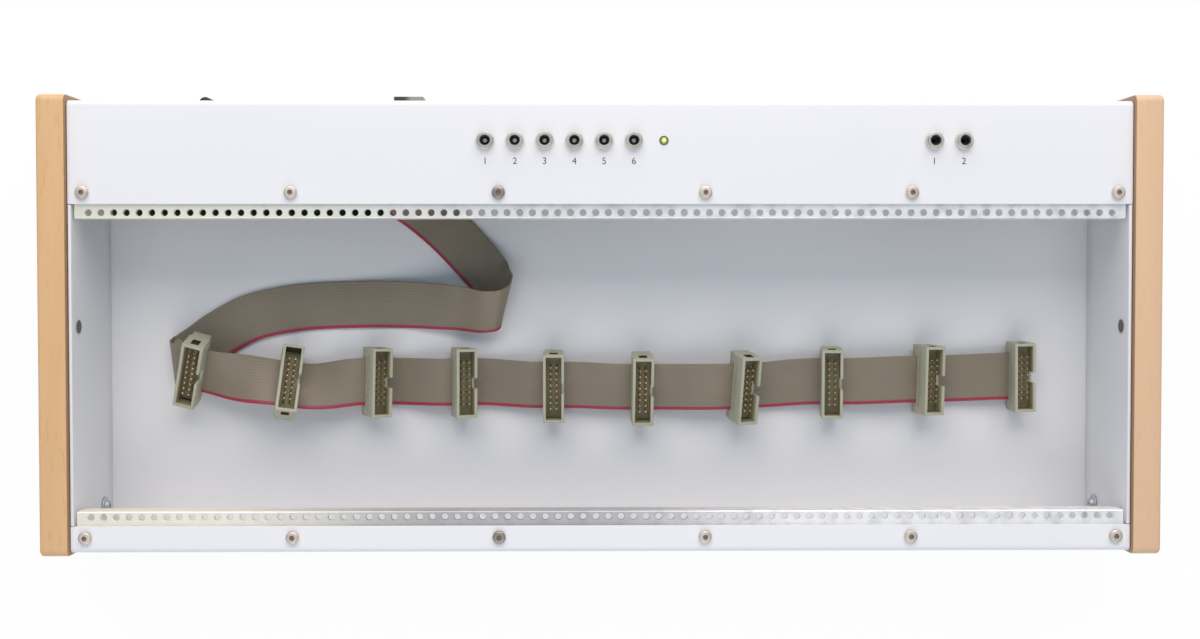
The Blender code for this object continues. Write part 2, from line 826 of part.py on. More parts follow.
def make_din_socket(material):
    """A block with a round face that looks through the rear wall, and five pin holes on an arc."""
    back_y = rear_inner_y - seat_gap - din_depth
    bm = bmesh.new()
    box(
        bm,
        (din_x - din_width / 2, back_y, din_z - din_height / 2),
        (din_x + din_width / 2, rear_inner_y - seat_gap, din_z + din_height / 2),
    )
    socket = add_object("din_socket", mesh_from(bm, "din_socket"), material)
    face = bmesh.new()
    face_y = rear_y + din_face_rise
    span = (rear_inner_y - seat_gap - fuse_depth, face_y)
    drum(face, din_face_diameter / 2, *span, 24, (din_x, 0, din_z), "Y")
    boolean(socket, "UNION", face, "din_face")
    holes = bmesh.new()
    span = (face_y - din_pin_hole_depth, face_y + cut_overrun)
    for i in range(din_pin_count):
        angle = math.radians((i - (din_pin_count - 1) / 2) * din_pin_step_degrees - 90)
        x = din_x + din_pin_radius * math.cos(angle)
        z = din_z + din_pin_radius * math.sin(angle)
        drum(holes, din_pin_hole_diameter / 2, *span, 8, (x, 0, z), "Y")
    boolean(socket, "DIFFERENCE", holes, "din_pin_holes")


def make_line_jacks(material):
    """Large sockets under the out board, with bushings through the rear wall and nuts outside."""
    for i, x in enumerate(line_jack_places()):
        name = f"line_out_jack_{i + 1}"
        front = rear_inner_y - seat_gap
        bm = bmesh.new()
        box(
            bm,
            (x - line_jack_width / 2, front - line_jack_depth, line_jack_z - line_jack_height / 2),
            (x + line_jack_width / 2, front, line_jack_z + line_jack_height / 2),
        )
        jack = add_object(name, mesh_from(bm, name), material)
        collar = bmesh.new()
        bushing = line_bushing_diameter / 2
        nut = line_nut_diameter / 2
        profile = [
            (front - fuse_depth, bushing),
            (rear_y + seat_gap, bushing),
            (rear_y + seat_gap, nut),
            (rear_y + line_nut_rise - nut_chamfer, nut),
            (rear_y + line_nut_rise, nut - nut_chamfer),
        ]
        turned(collar, profile, jack_sides, (x, 0, line_jack_z), "Y")
        boolean(jack, "UNION", collar, f"{name}_collar")
        bore = bmesh.new()
        mouth = rear_y + line_nut_rise
        span = (mouth - line_bore_depth, mouth + cut_overrun)
        drum(bore, line_bore_diameter / 2, *span, 12, (x, 0, line_jack_z), "Y")
        boolean(jack, "DIFFERENCE", bore, f"{name}_bore")


def make_dc_inlet(material):
    """A barrel socket with its flange outside the rear wall and a pin down its bore."""
    mouth = rear_y + dc_flange_rise
    flange = dc_flange_diameter / 2
    body = dc_body_diameter / 2
    profile = [
        (rear_y - dc_body_depth, body),
        (rear_y + seat_gap, body),
        (rear_y + seat_gap, flange),
        (mouth - nut_chamfer, flange),
        (mouth, flange - nut_chamfer),
    ]
    bm = bmesh.new()
    turned(bm, profile, 14, (dc_x, 0, dc_z), "Y")
    inlet = add_object("dc_inlet", mesh_from(bm, "dc_inlet"), material, 35)
    bore = bmesh.new()
    span = (mouth - dc_bore_depth, mouth + cut_overrun)
    drum(bore, dc_bore_diameter / 2, *span, 12, (dc_x, 0, dc_z), "Y")
    boolean(inlet, "DIFFERENCE", bore, "dc_bore")
    pin = bmesh.new()
    span = (mouth - dc_bore_depth - fuse_depth, mouth - dc_pin_inset)
    drum(pin, dc_pin_diameter / 2, *span, 8, (dc_x, 0, dc_z), "Y")
    boolean(inlet, "UNION", pin, "dc_pin")


def make_switch_frame(material):
    """The bezel and body of the power switch, with the well that the rocker swings in."""
    bezel_y = rear_y + bezel_rise
    bm = bmesh.new()
    box(
        bm,
        (switch_x - switch_body_width / 2, rear_y - switch_body_depth, pivot_z - switch_body_height / 2),
        (switch_x + switch_body_width / 2, rear_y + bezel_rise / 2, pivot_z + switch_body_height / 2),
    )
    frame = add_object("switch_frame", mesh_from(bm, "switch_frame"), material)
    bezel = bmesh.new()
    wide = rounded_rectangle(
        -bezel_width / 2, -bezel_height / 2, bezel_width / 2, bezel_height / 2, bezel_flare * 2, 3
    )
    wide = [(switch_x + u, pivot_z + v) for u, v in wide]
    prism(bezel, wide, rear_y + seat_gap, bezel_y, along_y)
    front_edges = [
        edge for edge in bezel.edges if all(v.co.y > bezel_y - seat_gap for v in edge.verts)
    ]
    bmesh.ops.bevel(
        bezel,
        geom=front_edges,
        offset=bezel_flare,
        segments=1,
        profile=0.5,
        affect="EDGES",
        material=-1,
    )
    boolean(frame, "UNION", bezel, "bezel")
    swing = math.hypot(rocker_width / 2, rocker_edge)
    lowest_corner = max(0, math.atan2(rocker_edge, rocker_width / 2) - tilt)
    half_width = swing * math.cos(lowest_corner) + rocker_well_gap
    half_height = rocker_height / 2 + seat_gap
    well = bmesh.new()
    well_floor = pivot_y - math.hypot(rocker_root, rocker_width * rocker_root_share / 2)
    box(
        well,
        (switch_x - half_width, well_floor - rocker_well_floor, pivot_z - half_height),
        (switch_x + half_width, bezel_y + cut_overrun, pivot_z + half_height),
    )
    boolean(frame, "DIFFERENCE", well, "rocker_well")


def make_rocker(material):
    """The rocker, drawn about its pivot and tilted to rest with its left end out."""
    half = rocker_width / 2
    root = half * rocker_root_share
    outline = (
        (-half, -rocker_heel),
        (-root, -rocker_root),
        (root, -rocker_root),
        (half, -rocker_heel),
        (half, rocker_edge),
        (0, rocker_valley),
        (-half, rocker_edge),
    )
    bm = bmesh.new()
    prism(bm, outline, -rocker_height / 2, rocker_height / 2, along_z)
    rocker = add_object("power_rocker", mesh_from(bm, "power_rocker"), material)
    rocker.location = (switch_x, pivot_y, pivot_z)
    rocker.rotation_euler = (0, 0, -tilt)


# The ribbon's route. A station is a place on its centreline (across, from the bay's middle line,
# above the floor), and the yaw and roll in degrees of the line across it, from plain to red edge.
ribbon_stations = (
    (-0.1030, 0.0830, 0.0225, -98, 0),
    (-0.0945, 0.0785, 0.0135, -114, 0),
    (-0.0865, 0.0715, 0.0055, -128, 0),
    (-0.0785, 0.0645, 0.0018, -135, 0),
    (-0.0690, 0.0565, 0.0012, -136, 0),
    (-0.0585, 0.0465, 0.0016, -136, -2),
    (-0.0495, 0.0370, 0.0032, -134, -10),
    (-0.0435, 0.0300, 0.0060, -124, -24),
    (-0.0398, 0.0248, 0.0098, -106, -32),
    (-0.0420, 0.0216, 0.0130, -98, -33),
    (-0.0485, 0.0206, 0.0130, -95, -30),
    (-0.0600, 0.0220, 0.0088, -92, -20),
    (-0.0770, 0.0232, 0.0034, -90, -8),
    (-0.1080, 0.0236, 0.0012, -90, 0),
    (-0.1380, 0.0212, 0.0012, -82, 0),
    (-0.1525, 0.0176, 0.0014, -74, 0),
    (-0.1650, 0.0110, 0.0012, -70, 0),
    (-0.1762, 0.0033, 0.0012, -76, 0),
    (-0.1813, 0.0001, 0.0012, -80, 0),
    (-0.1834, -0.0012, 0.0022, -82, 0),
    (-0.1842, -0.0023, 0.0045, -83, 0),
    (-0.1831, -0.0032, 0.0069, -84, -2),
)

# Each header: across, from the bay's middle line, yaw, tilt along the ribbon, roll across it,
# and what lifts it off the floor.
under_ribbon = 0.0016
header_stations = (
    (-0.1745, -0.0048, -9, 0, -5, under_ribbon),
    (-0.1337, -0.0110, -9, 12, 9, 0),
    (-0.0965, -0.0094, -1, 32, 0, 0),
    (-0.0585, -0.0099, 0, 18, 0, 0),
    (-0.0196, -0.0116, 0, 1, -4, 0),
    (0.0184, -0.0124, 0, 5, -2, 0),
    (0.0611, -0.0126, 1, 26, -3, 0),
    (0.1003, -0.0106, 0, -4, 0, 0),
    (0.1397, -0.0092, 0, 27, 0, 0),
    (0.1813, -0.0078, 1, 3, 0, 0),
)


def header_frames():
    """Where each header stands: its lowest corner rests just above what is under it."""
    frames = []
    half_clamp = header_clamp_width / 2
    half_length = header_length / 2
    for x, y, yaw, lean, roll, lift in header_stations:
        turn = (
            Matrix.Rotation(math.radians(yaw), 3, "Z")
            @ Matrix.Rotation(math.radians(lean), 3, "Y")
            @ Matrix.Rotation(math.radians(-roll), 3, "X")
        )
        lowest = min(
            (turn @ Vector((sx * half_clamp, sy * half_length, -header_foot))).z
            for sx in (-1, 1)
            for sy in (-1, 1)
        )
        z = floor_z + seat_gap + lift - lowest
        frames.append((Vector((x, bay_middle_y + y, z)), turn))
    return frames


def ribbon_rulings():
    """Centre, direction across and, where it is set, direction along, for each station in turn."""
    across = Vector((0, -1, 0))
    forward = Vector((1, 0, 0))
    socket_y = rear_y - ribbon_socket_rear_inset
    start = Vector((ribbon_socket_x, socket_y, floor_z + ribbon_socket_rise))
    rulings = [
        (start - forward * ribbon_grip, across, forward),
        (start + forward * header_straight, across, forward),
    ]
    for x, y, height, yaw, roll in ribbon_stations:
        yaw = math.radians(yaw)
        roll = math.radians(roll)
        across = Vector(
            (math.cos(yaw) * math.cos(roll), math.sin(yaw) * math.cos(roll), math.sin(roll))
        )
        rulings.append((Vector((x, bay_middle_y + y, floor_z + height)), across, None))
    entry_skew = Matrix.Rotation(math.radians(first_header_skew_degrees), 3, "Z")
    for centre, turn in header_frames():
        across = turn @ Vector((0, -1, 0))
        forward = turn @ Vector((1, 0, 0))
        entry = turn @ entry_skew @ Vector((0, -1, 0))
        rulings.append((centre - forward * header_straight, entry, forward))
        rulings.append((centre + forward * header_straight, across, forward))
        entry_skew = Matrix.Identity(3)
    return rulings


def ribbon_sections():
    """Sections of the ribbon along a smooth curve through its stations."""
    rulings = ribbon_rulings()
    points = [ruling[0] for ruling in rulings]
    tangents = []
    for i, (point, _, forward) in enumerate(rulings):
        if forward is None:
            before = points[max(i - 1, 0)]
            after = points[min(i + 1, len(points) - 1)]
            if 0 < i < len(points) - 1:
                weight_before = 1 / (point - before).length
                weight_after = 1 / (after - point).length
                forward = (point - before) * weight_before**2 + (after - point) * weight_after**2
            else:
                forward = after - before
        tangents.append(forward.normalized())
    last_centre, last_turn = header_frames()[-1]
    sections = []
    for i in range(len(points) - 1):
        chord = (points[i + 1] - points[i]).length
        turning = math.degrees(tangents[i].angle(tangents[i + 1]))
        steps = max(1, math.ceil(chord / ribbon_step), math.ceil(turning / ribbon_turn_degrees))
        if rulings[i][2] is not None and turning < 1 and chord < 3 * header_straight:
            steps = 1
        pull = chord * (1 + 0.2 * min(turning, 90) / 90)
        for k in range(steps + (i == len(points) - 2)):
            t = k / steps
            h00 = 2 * t**3 - 3 * t**2 + 1
            h10 = t**3 - 2 * t**2 + t
            h01 = 3 * t**2 - 2 * t**3
            h11 = t**3 - t**2
            centre = (
                points[i] * h00
                + tangents[i] * (pull * h10)
                + points[i + 1] * h01
                + tangents[i + 1] * (pull * h11)
            )
            d00 = 6 * t**2 - 6 * t
            d10 = 3 * t**2 - 4 * t + 1
            d11 = 3 * t**2 - 2 * t
            forward = (
                (points[i + 1] - points[i]) * -d00
                + tangents[i] * (pull * d10)
                + tangents[i + 1] * (pull * d11)
            ).normalized()
            ease = t * t * (3 - 2 * t)
            across = rulings[i][1].lerp(rulings[i + 1][1], ease).normalized()
            sections.append((centre, forward, across))
    return sections


def make_ribbon(material):
    """A flat strip swept along the route; its sections follow the creases, its width stays the same."""
    bm = bmesh.new()
    rows = []
    for centre, forward, across in ribbon_sections():
        skew = forward.cross(across).length
        normal = forward.cross(across).normalized()
        half = across * (ribbon_width / 2 / skew)
        lift = normal * (ribbon_thickness / 2)
        corners = (-half - lift, half - lift, half + lift, -half + lift)
        rows.append([bm.verts.new(centre + corner) for corner in corners])
    bm.faces.new(rows[0])
    bm.faces.new(rows[-1])
    for first, second in zip(rows, rows[1:]):
        for i in range(4):
            j = (i + 1) % 4
            bm.faces.new((first[i], first[j], second[j], second[i]))
    add_object("bus_ribbon", mesh_from(bm, "bus_ribbon"), material, 30)


def header_mesh():
    """A sixteen-pin box header clamped on the ribbon, with its origin at the ribbon's middle."""
    half_width = header_width / 2
    half_length = header_length / 2
    half_clamp = header_clamp_width / 2
    slot = ribbon_thickness / 2 + seat_gap
    section = (
        (-half_clamp, -header_foot),
        (half_clamp, -header_foot),
        (half_clamp, -slot),
        (half_width, -slot),
        (half_width, header_rise),
        (-half_width, header_rise),
        (-half_width, -slot),
        (-half_clamp, -slot),
    )
    bm = bmesh.new()
    prism(bm, section, -half_length, half_length, along_y)
    housing = add_object("header_form", mesh_from(bm, "header_form"), None)

    cuts = bmesh.new()
    cavity_floor = header_rise - header_cavity_depth
    top = header_rise + cut_overrun
    inner_width = half_width - header_wall
    inner_length = half_length - header_wall
    box(cuts, (-inner_width, -inner_length, cavity_floor), (inner_width, inner_length, top))
    boolean(housing, "DIFFERENCE", cuts, "header_cavity")
    notches = bmesh.new()
    key = header_key_width / 2
    box(
        notches,
        (inner_width - fuse_depth, -key, header_rise - header_key_depth),
        (half_width + cut_overrun, key, top),
    )
    notch = header_end_notch_width / 2
    notch_top = header_rise - header_end_notch_drop
    for sign in (-1, 1):
        ys = sorted((sign * (inner_length - fuse_depth), sign * (half_length + cut_overrun)))
        box(notches, (-notch, ys[0], notch_top - header_end_notch_depth), (notch, ys[1], notch_top))
    passage = ribbon_width / 2 + seat_gap
    reach = half_width + cut_overrun
    box(notches, (-reach, -passage, -slot), (reach, passage, slot))
    boolean(housing, "DIFFERENCE", notches, "header_notches")
    pins = bmesh.new()
    for column in range(pin_columns):
        for row in range(pin_rows):
            x = (row - (pin_rows - 1) / 2) * pin_pitch
            y = (column - (pin_columns - 1) / 2) * pin_pitch
            box(
                pins,
                (x - pin_size / 2, y - pin_size / 2, cavity_floor - fuse_depth),
                (x + pin_size / 2, y + pin_size / 2, cavity_floor + pin_length),
            )
    boolean(housing, "UNION", pins, "header_pins")
    return applied_mesh(housing, "bus_header")


def make_headers(material):
    mesh = header_mesh()
    for i, (centre, turn) in enumerate(header_frames()):
        header = add_object(f"bus_header_{i + 1}", mesh.copy(), material)
        header.matrix_world = Matrix.Translation(centre) @ turn.to_4x4()


def make_ribbon_socket(material):
    """The socket on the ribbon's board end: a nose in the board's header and a clamp round the ribbon."""
    y = rear_y - ribbon_socket_rear_inset
    header_under = board_header_under_z
    ribbon_z = floor_z + ribbon_socket_rise
    slot = ribbon_thickness / 2 + seat_gap
    half_width = header_clamp_width / 2
    half_length = header_length / 2
    bm = bmesh.new()
    box(
        bm,
        (ribbon_socket_x - half_width, y - half_length, ribbon_z - socket_body_height),
        (ribbon_socket_x + half_width, y + half_length, header_under - seat_gap),
    )
    socket = add_object("ribbon_socket", mesh_from(bm, "ribbon_socket"), material)
    nose = bmesh.new()
    nose_width = board_header_width / 2 - header_wall - seat_gap
    nose_length = board_header_length / 2 - header_wall - seat_gap
    box(
        nose,
        (ribbon_socket_x - nose_width, y - nose_length, header_under - seat_gap - fuse_depth),
        (ribbon_socket_x + nose_width, y + nose_length, header_under + socket_nose_depth),
    )
    boolean(socket, "UNION", nose, "socket_nose")
    passage = bmesh.new()
    half_passage = ribbon_width / 2 + seat_gap
    reach = half_width + cut_overrun
    box(
        passage,
        (ribbon_socket_x - half_width + header_wall, y - half_passage, ribbon_z - slot),
        (ribbon_socket_x + reach, y + half_passage, ribbon_z + slot),
    )
    boolean(socket, "DIFFERENCE", passage, "socket_passage")


def build():
    clear_scene()
    white = make_material("white_powder_coat", (0.83, 0.83, 0.84), 0.45)
    beech = make_material("beech", (0.72, 0.46, 0.24), 0.5)
    zinc = make_material("bright_rail", (0.80, 0.80, 0.76), 0.3, 1.0)
    steel = make_material("nickel_screw", (0.55, 0.50, 0.45), 0.35, 1.0)
    dark_steel = make_material("dark_screw", (0.10, 0.09, 0.09), 0.5, 0.6)
    nickel = make_material("nickel_nut", (0.62, 0.58, 0.50), 0.3, 1.0)
    board = make_material("circuit_board", (0.03, 0.16, 0.07), 0.5)
    black = make_material("black_plastic", (0.02, 0.02, 0.02), 0.45)
    rubber = make_material("foot_rubber", (0.03, 0.03, 0.03), 0.8)
    shield = make_material("connector_shield", (0.65, 0.66, 0.67), 0.35, 1.0)
    lamp = make_material("lamp_lens", (0.65, 0.68, 0.20), 0.25)
    housing = make_material("header_housing", (0.33, 0.34, 0.27), 0.55)
    ribbon = make_material("ribbon_insulation", (0.22, 0.19, 0.14), 0.5)

    make_shell(white)
    for side, sign in (("left", -1), ("right", 1)):
        make_end_plate(side, sign, white)
        make_cheek(side, sign, beech)
        make_cheek_screws(side, sign, steel, dark_steel)
    make_rail("rail_upper", 1, upper_row_y, zinc)
    make_rail("rail_lower", -1, lower_row_y, zinc)
    make_panel_screws(steel)
    make_feet(rubber)
    make_boards(board)
    make_board_header(black)
    make_jacks(nickel)
    make_led(lamp)
    make_usb_socket(shield)
    make_din_socket(black)
    make_line_jacks(black)
    make_dc_inlet(black)
    make_switch_frame(black)
    make_rocker(black)
    make_ribbon(ribbon)
    make_headers(housing)
    make_ribbon_socket(housing)


build()
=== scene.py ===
"""Looks for an 84-unit eurorack case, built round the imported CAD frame. Lengths are in metres."""

import json
import math

import bmesh
import bpy
from mathutils import Matrix, Vector


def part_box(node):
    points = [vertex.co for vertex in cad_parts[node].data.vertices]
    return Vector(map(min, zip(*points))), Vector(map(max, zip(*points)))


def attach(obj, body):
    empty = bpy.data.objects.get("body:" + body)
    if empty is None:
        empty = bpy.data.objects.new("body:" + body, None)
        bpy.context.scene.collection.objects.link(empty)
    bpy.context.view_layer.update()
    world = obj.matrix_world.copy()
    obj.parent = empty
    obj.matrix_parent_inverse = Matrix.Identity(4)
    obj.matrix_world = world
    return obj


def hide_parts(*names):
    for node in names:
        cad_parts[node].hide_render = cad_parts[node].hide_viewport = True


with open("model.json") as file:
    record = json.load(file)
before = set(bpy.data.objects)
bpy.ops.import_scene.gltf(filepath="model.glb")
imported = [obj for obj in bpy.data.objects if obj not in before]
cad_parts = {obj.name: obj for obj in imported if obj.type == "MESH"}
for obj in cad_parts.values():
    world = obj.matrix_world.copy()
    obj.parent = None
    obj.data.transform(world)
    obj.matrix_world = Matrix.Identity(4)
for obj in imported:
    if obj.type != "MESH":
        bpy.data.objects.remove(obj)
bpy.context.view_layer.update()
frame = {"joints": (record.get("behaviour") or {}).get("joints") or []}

# Sheet metal
sheet_thickness = 0.0012
bend_radius = 0.0022
bend_steps = 8
panel_depth = 0.0414
lip_depth = 0.0107
sheet_edge = 0.0002
hole_gap = 0.0003
tab_width = 0.0076
tab_window_height = 0.0090

# Wood
cheek_corner_radius = 0.0030
cheek_edge_radius = 0.0013
cheek_inner_radius = 0.0006

# Rails
hole_pitch = 0.00508
hole_count = 82
hole_radius = 0.00135
hole_rim = 0.0001
row_inset = 0.0024
plate_thickness = 0.0020
flange_thickness = 0.0010
fold_radius = 0.0007

# Fasteners
panel_screw_count = 6
thread_radius = 0.0015
head_radius = 0.00265
socket_radius = 0.0011
socket_depth = 0.0012
wood_screw_radius = 0.00175
screw_hole_radius = thread_radius + hole_gap
wood_screw_pitch = 0.0013
wood_screw_crest = 0.0006
wood_socket_depth = 0.0009
flat_head_share = 0.3
flat_socket_share = 0.3
fine_pitch = 0.0005
small_edge = 0.0003

# Screw heads: shares of their radius and of their height
pan_head = (
    (0.97, 0), (1, 0.12), (0.99, 0.50), (0.95, 0.76), (0.87, 0.92), (0.76, 0.985), (0.60, 1),
)
washer_head = (
    (0, 1), (0.42, 1), (0.56, 0.92), (0.64, 0.62), (0.70, 0.36), (0.97, 0.26), (1, 0.14), (0.98, 0),
)
flat_head = ((0, 1), (0.9, 1), (1, 0.6), (1, 0))

# Jacks
jack_radius = 0.0030
jack_bore = 0.0020
bushing_rise = 0.0029
nut_radius = 0.0037
nut_height = 0.0020
nut_play = 0.00005
nut_knurls = 36
nut_knurl_depth = 0.00018
jack_body = (0.0090, 0.0105, 0.0092)
jack_legs = ((0, -0.0040), (0, 0.0040), (-0.0028, 0), (0.0028, 0.0010))
solder_joint = ((0, -0.0012), (0.0003, -0.0011), (0.0005, -0.0005), (0.0009, 0.00005), (0, 0.00005))
contact_radius = 0.0010
contact_drop = 0.0024
out_contact_drop = 0.0044
board_thickness = 0.0016
board_corner_radius = 0.0012
lamp_hole_radius = 0.0019
number_size = 0.0038
number_drop = 0.0094
print_rise = 0.00001

# Ribbon and headers
ribbon_width = 0.0203
ribbon_thickness = 0.0009
conductor_count = 16
ribbon_step = 0.0022
ribbon_turn_degrees = 6
ribbon_start_height = 0.0256  # above the floor
conductor_crown = ((0.24, 0.96), (0.5, 1.0), (0.76, 0.96))
conductor_valley = 0.80
header_length = 0.0294
header_width = 0.0090
header_rise = 0.0095
header_foot = 0.0046
header_clamp_width = 0.0076
header_wall = 0.0012
header_cavity_depth = 0.0068
header_key_width = 0.0045
header_key_depth = 0.0058
header_end_notch_width = 0.0034
header_end_notch_depth = 0.0044
header_end_notch_drop = 0.0022
header_straight = 0.0050
first_header_skew_degrees = 4
header_edge = 0.00016
pin_pitch = 0.00254
pin_columns = 8
pin_size = 0.00064
pin_length = 0.0056
rib_pitch = 0.00127
rib_gap = 0.0004
rib_depth = 0.00022
under_ribbon = 0.0016
ribbon_grip = 0.0022
slot_half_width = ribbon_width / 2 + hole_gap
slot_half_height = ribbon_thickness / 2 + hole_gap

# Rear wall; an outline's points are radius and height out of the wall
rear_holes = {
    "din_socket": 0.0078,
    "dc_inlet": 0.0057,
    "line_out_jack_1": 0.0053,
    "line_out_jack_2": 0.0053,
}
line_nut_outline = (
    (0.0050, 0.0003), (0.0068, 0.0003), (0.0070, 0.0006), (0.0070, 0.0012), (0.0064, 0.0015),
    (0.0052, 0.0015), (0.0050, 0.0018), (0.0038, 0.0018), (0.0034, 0.0014),
)
line_bore_radius = 0.0033
line_bore_depth = 0.0210
din_circle = 0.0035
din_pin_radius = 0.0010
din_pin_depth = 0.0060
din_key = (0.0022, 0.0012, 0.0100)
din_key_reach = 0.0058
usb_inset = 0.0003
usb_tongue = (0.0056, 0.0078, 0.0032)
usb_tongue_drop = 0.0010
usb_wall = 0.0006
usb_far_radius = 0.0016
usb_mouth_depth = 0.0098
switch_opening = (0.0202, 0.0136)
switch_body = (0.0196, 0.0130)
switch_corner_radius = 0.0012
rocker_well = (0.0178, 0.0200, 0.0112)
rocker_well_shift = 0.0042
rocker_half_length = 0.0080
rocker_half_height = 0.0053
rocker_nose = 0.0026
rocker_hollow = 0.0017
rocker_crest_rise = 0.0021
rocker_tilt_degrees = -9
mark_reach = 0.0042
mark_height = 0.0026
mark_rise = 0.00004
mark_lean_degrees = 15.7

# Feet: radius and height from the recess in a foot's middle outward
foot_radius = 0.0068
foot_edge = 0.0004
foot_outline = (
    (0, 0.0016), (0.0026, 0.0016), (0.0030, 0.0012), (0.0030, 0.0002), (0.0032, 0), (0.0055, 0),
    (0.0060, 0.0005),
)

sides = (("left", -1), ("right", 1))
cheek_screw_places = ("front", "middle", "rear")

# Where things lie in the frame
shell_low, shell_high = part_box("case_shell")
floor_z = shell_low.z + sheet_thickness
panel_top_z = shell_high.z
panel_under_z = panel_top_z - sheet_thickness
upper_low, upper_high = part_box("rail_upper")
lower_low, lower_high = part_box("rail_lower")
upper_row_y = upper_low.y + row_inset
lower_row_y = lower_high.y - row_inset
bay_middle_y = (upper_row_y + lower_row_y) / 2
jack_y = sum(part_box("jack_1"), Vector()).y / 2
rear_y = shell_high.y
board_front_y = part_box("out_board")[0].y
power_board_right = -0.0860

# The photograph's camera, fitted to hole rows, screws, jacks and the floor's corners
camera_place = (-0.00756, 0.0340, 0.6044)  # from the bay's middle line and the panel's top
camera_degrees = (1.483, 0.635, 0.049)
focal_pixels = 1506.1
image_width = 1200
sensor_width = 36

# Lamps: name, place, size, power and colour
lamps = (
    ("key", (0.05, 1.30, 0.88), 1.9, 31.3, (1.0, 0.905, 0.860)),
    ("fill", (-0.05, -1.00, 1.00), 1.5, 9.6, (1.0, 0.915, 0.875)),
)


def operator(operation, swapped=False):
    """A method that joins a socket and another value in a Math node."""

    def work(socket, other):
        pair = (other, socket) if swapped else (socket, other)
        return socket.maths(operation, *pair)

    return work


class Socket:
    """A shader socket; arithmetic on it adds Math nodes to its material."""

    def __init__(self, finish, output):
        self.finish = finish
        self.output = output

    def maths(self, operation, *values):
        return self.finish.node("Math", enumerate(values), operation=operation)

    __add__ = __radd__ = operator("ADD")
    __sub__ = operator("SUBTRACT")
    __rsub__ = operator("SUBTRACT", swapped=True)
    __mul__ = __rmul__ = operator("MULTIPLY")
    __pow__ = operator("POWER")
    __rpow__ = operator("POWER", swapped=True)
    __gt__ = operator("GREATER_THAN")
    __lt__ = operator("LESS_THAN")


class Finish:
    """A material, and the calls that wire its nodes."""

    def __init__(self, name, slot, colour, roughness, metallic=0.0):
        self.slot = slot
        self.material = bpy.data.materials.new(name)
        self.material.use_nodes = True
        self.tree = self.material.node_tree
        self.shader = self.tree.nodes["Principled BSDF"]
        self.set("Base Color", (*colour, 1))
        self.set("Roughness", roughness)
        self.set("Metallic", metallic)

    def feed(self, socket, value):
        if isinstance(value, Socket):
            self.tree.links.new(value.output, socket)
        else:
            socket.default_value = value

    def set(self, name, value):
        self.feed(self.shader.inputs[name], value)

    def node(self, kind, sockets=(), result=0, **settings):
        node = self.tree.nodes.new("ShaderNode" + kind)
        for name, value in settings.items():
            setattr(node, name, value)
        for key, value in dict(sockets).items():
            self.feed(node.inputs[key], value)
        return Socket(self, node.outputs[result])

    def base(self):
        """What feeds the base colour so far."""
        return Socket(self, self.shader.inputs["Base Color"].links[0].from_socket)

    def coordinate(self, axis):
        return self.node("SeparateXYZ", {0: self.node("TexCoord", (), "Object")}, axis)

    def facing(self, axis):
        """The part of the surface's normal along an axis."""
        return self.node("SeparateXYZ", {0: self.node("NewGeometry", (), "Normal")}, axis)

    def noise(self, scale, detail=2, stretch=(1, 1, 1)):
        spot = self.node("TexCoord", (), "Object")
        place = self.node("Mapping", {"Vector": spot, "Scale": stretch})
        return self.node("TexNoise", {"Vector": place, "Scale": scale, "Detail": detail})

    def between(self, value, low, high):
        """Eases from 0 at low to 1 at high."""
        sockets = {"Value": value, "From Min": low, "From Max": high}
        return self.node("MapRange", sockets, interpolation_type="SMOOTHSTEP")

    def mix(self, share, first, second):
        def colour(value):
            return value if isinstance(value, Socket) else (*value, 1)

        sockets = {0: share, 6: colour(first), 7: colour(second)}
        return self.node("Mix", sockets, 2, data_type="RGBA")

    def paint(self, share, first, second):
        self.set("Base Color", self.mix(share, first, second))

    def bump(self, height, distance, strength):
        sockets = {"Height": height, "Distance": distance, "Strength": strength}
        self.set("Normal", self.node("Bump", sockets))


def powder_coat():
    finish = Finish("white powder coat", "white_powder_coat", (0.825, 0.82, 0.83), 0.42)
    peel = finish.noise(1400)
    cloud = finish.noise(14)
    finish.paint(cloud, (0.812, 0.808, 0.818), (0.842, 0.838, 0.847))
    finish.set("Roughness", finish.between(peel, 0.3, 0.7) * 0.12 + 0.38)
    finish.bump(peel, 0.00006, 0.35)
    return finish


def beech_wood():
    """Growth rings round a line beside the board, long fibres and short dark flecks along Y."""
    finish = Finish("beech wood", "beech", (0.70, 0.45, 0.24), 0.48)
    sway = finish.noise(9, 2, (1, 0.25, 1))
    x = finish.coordinate(0)
    across = finish.coordinate(2) + 0.045
    beside = x * 0.55
    rings = ((across * across + beside * beside) ** 0.5 + sway * 0.022) * 1150
    ring = rings.maths("SINE", rings) * 0.5 + 0.5
    fibre = finish.noise(1500, 2, (1, 0.035, 1))
    fleck = finish.between(finish.noise(900, 1, (1, 0.12, 1)), 0.64, 0.72)
    broad = finish.noise(22, 2, (1, 0.2, 1))
    base = finish.mix(broad, (0.70, 0.42, 0.195), (0.765, 0.485, 0.25))
    inward = finish.facing(0) * (1 - (x > 0) * 2)
    layers = (
        (ring * 0.18, (0.66, 0.36, 0.15)),
        (finish.between(fibre, 0.45, 0.75) * 0.16, (0.60, 0.32, 0.13)),
        (fleck * 0.18, (0.42, 0.20, 0.08)),
        (finish.between(x, -0.1, 0.1) * 0.5, (0.74, 0.52, 0.37)),
        # painted shade on the cheeks' inner side faces, which face the bay
        (finish.between(inward, 0.3, 0.8) * 0.7, (0.20, 0.10, 0.05)),
    )
    for share, colour in layers:
        base = finish.mix(share, base, colour)
    finish.set("Base Color", base)
    finish.set("Roughness", fibre * 0.12 + 0.42)
    finish.bump(fibre - fleck * 0.5, 0.00005, 0.4)
    return finish


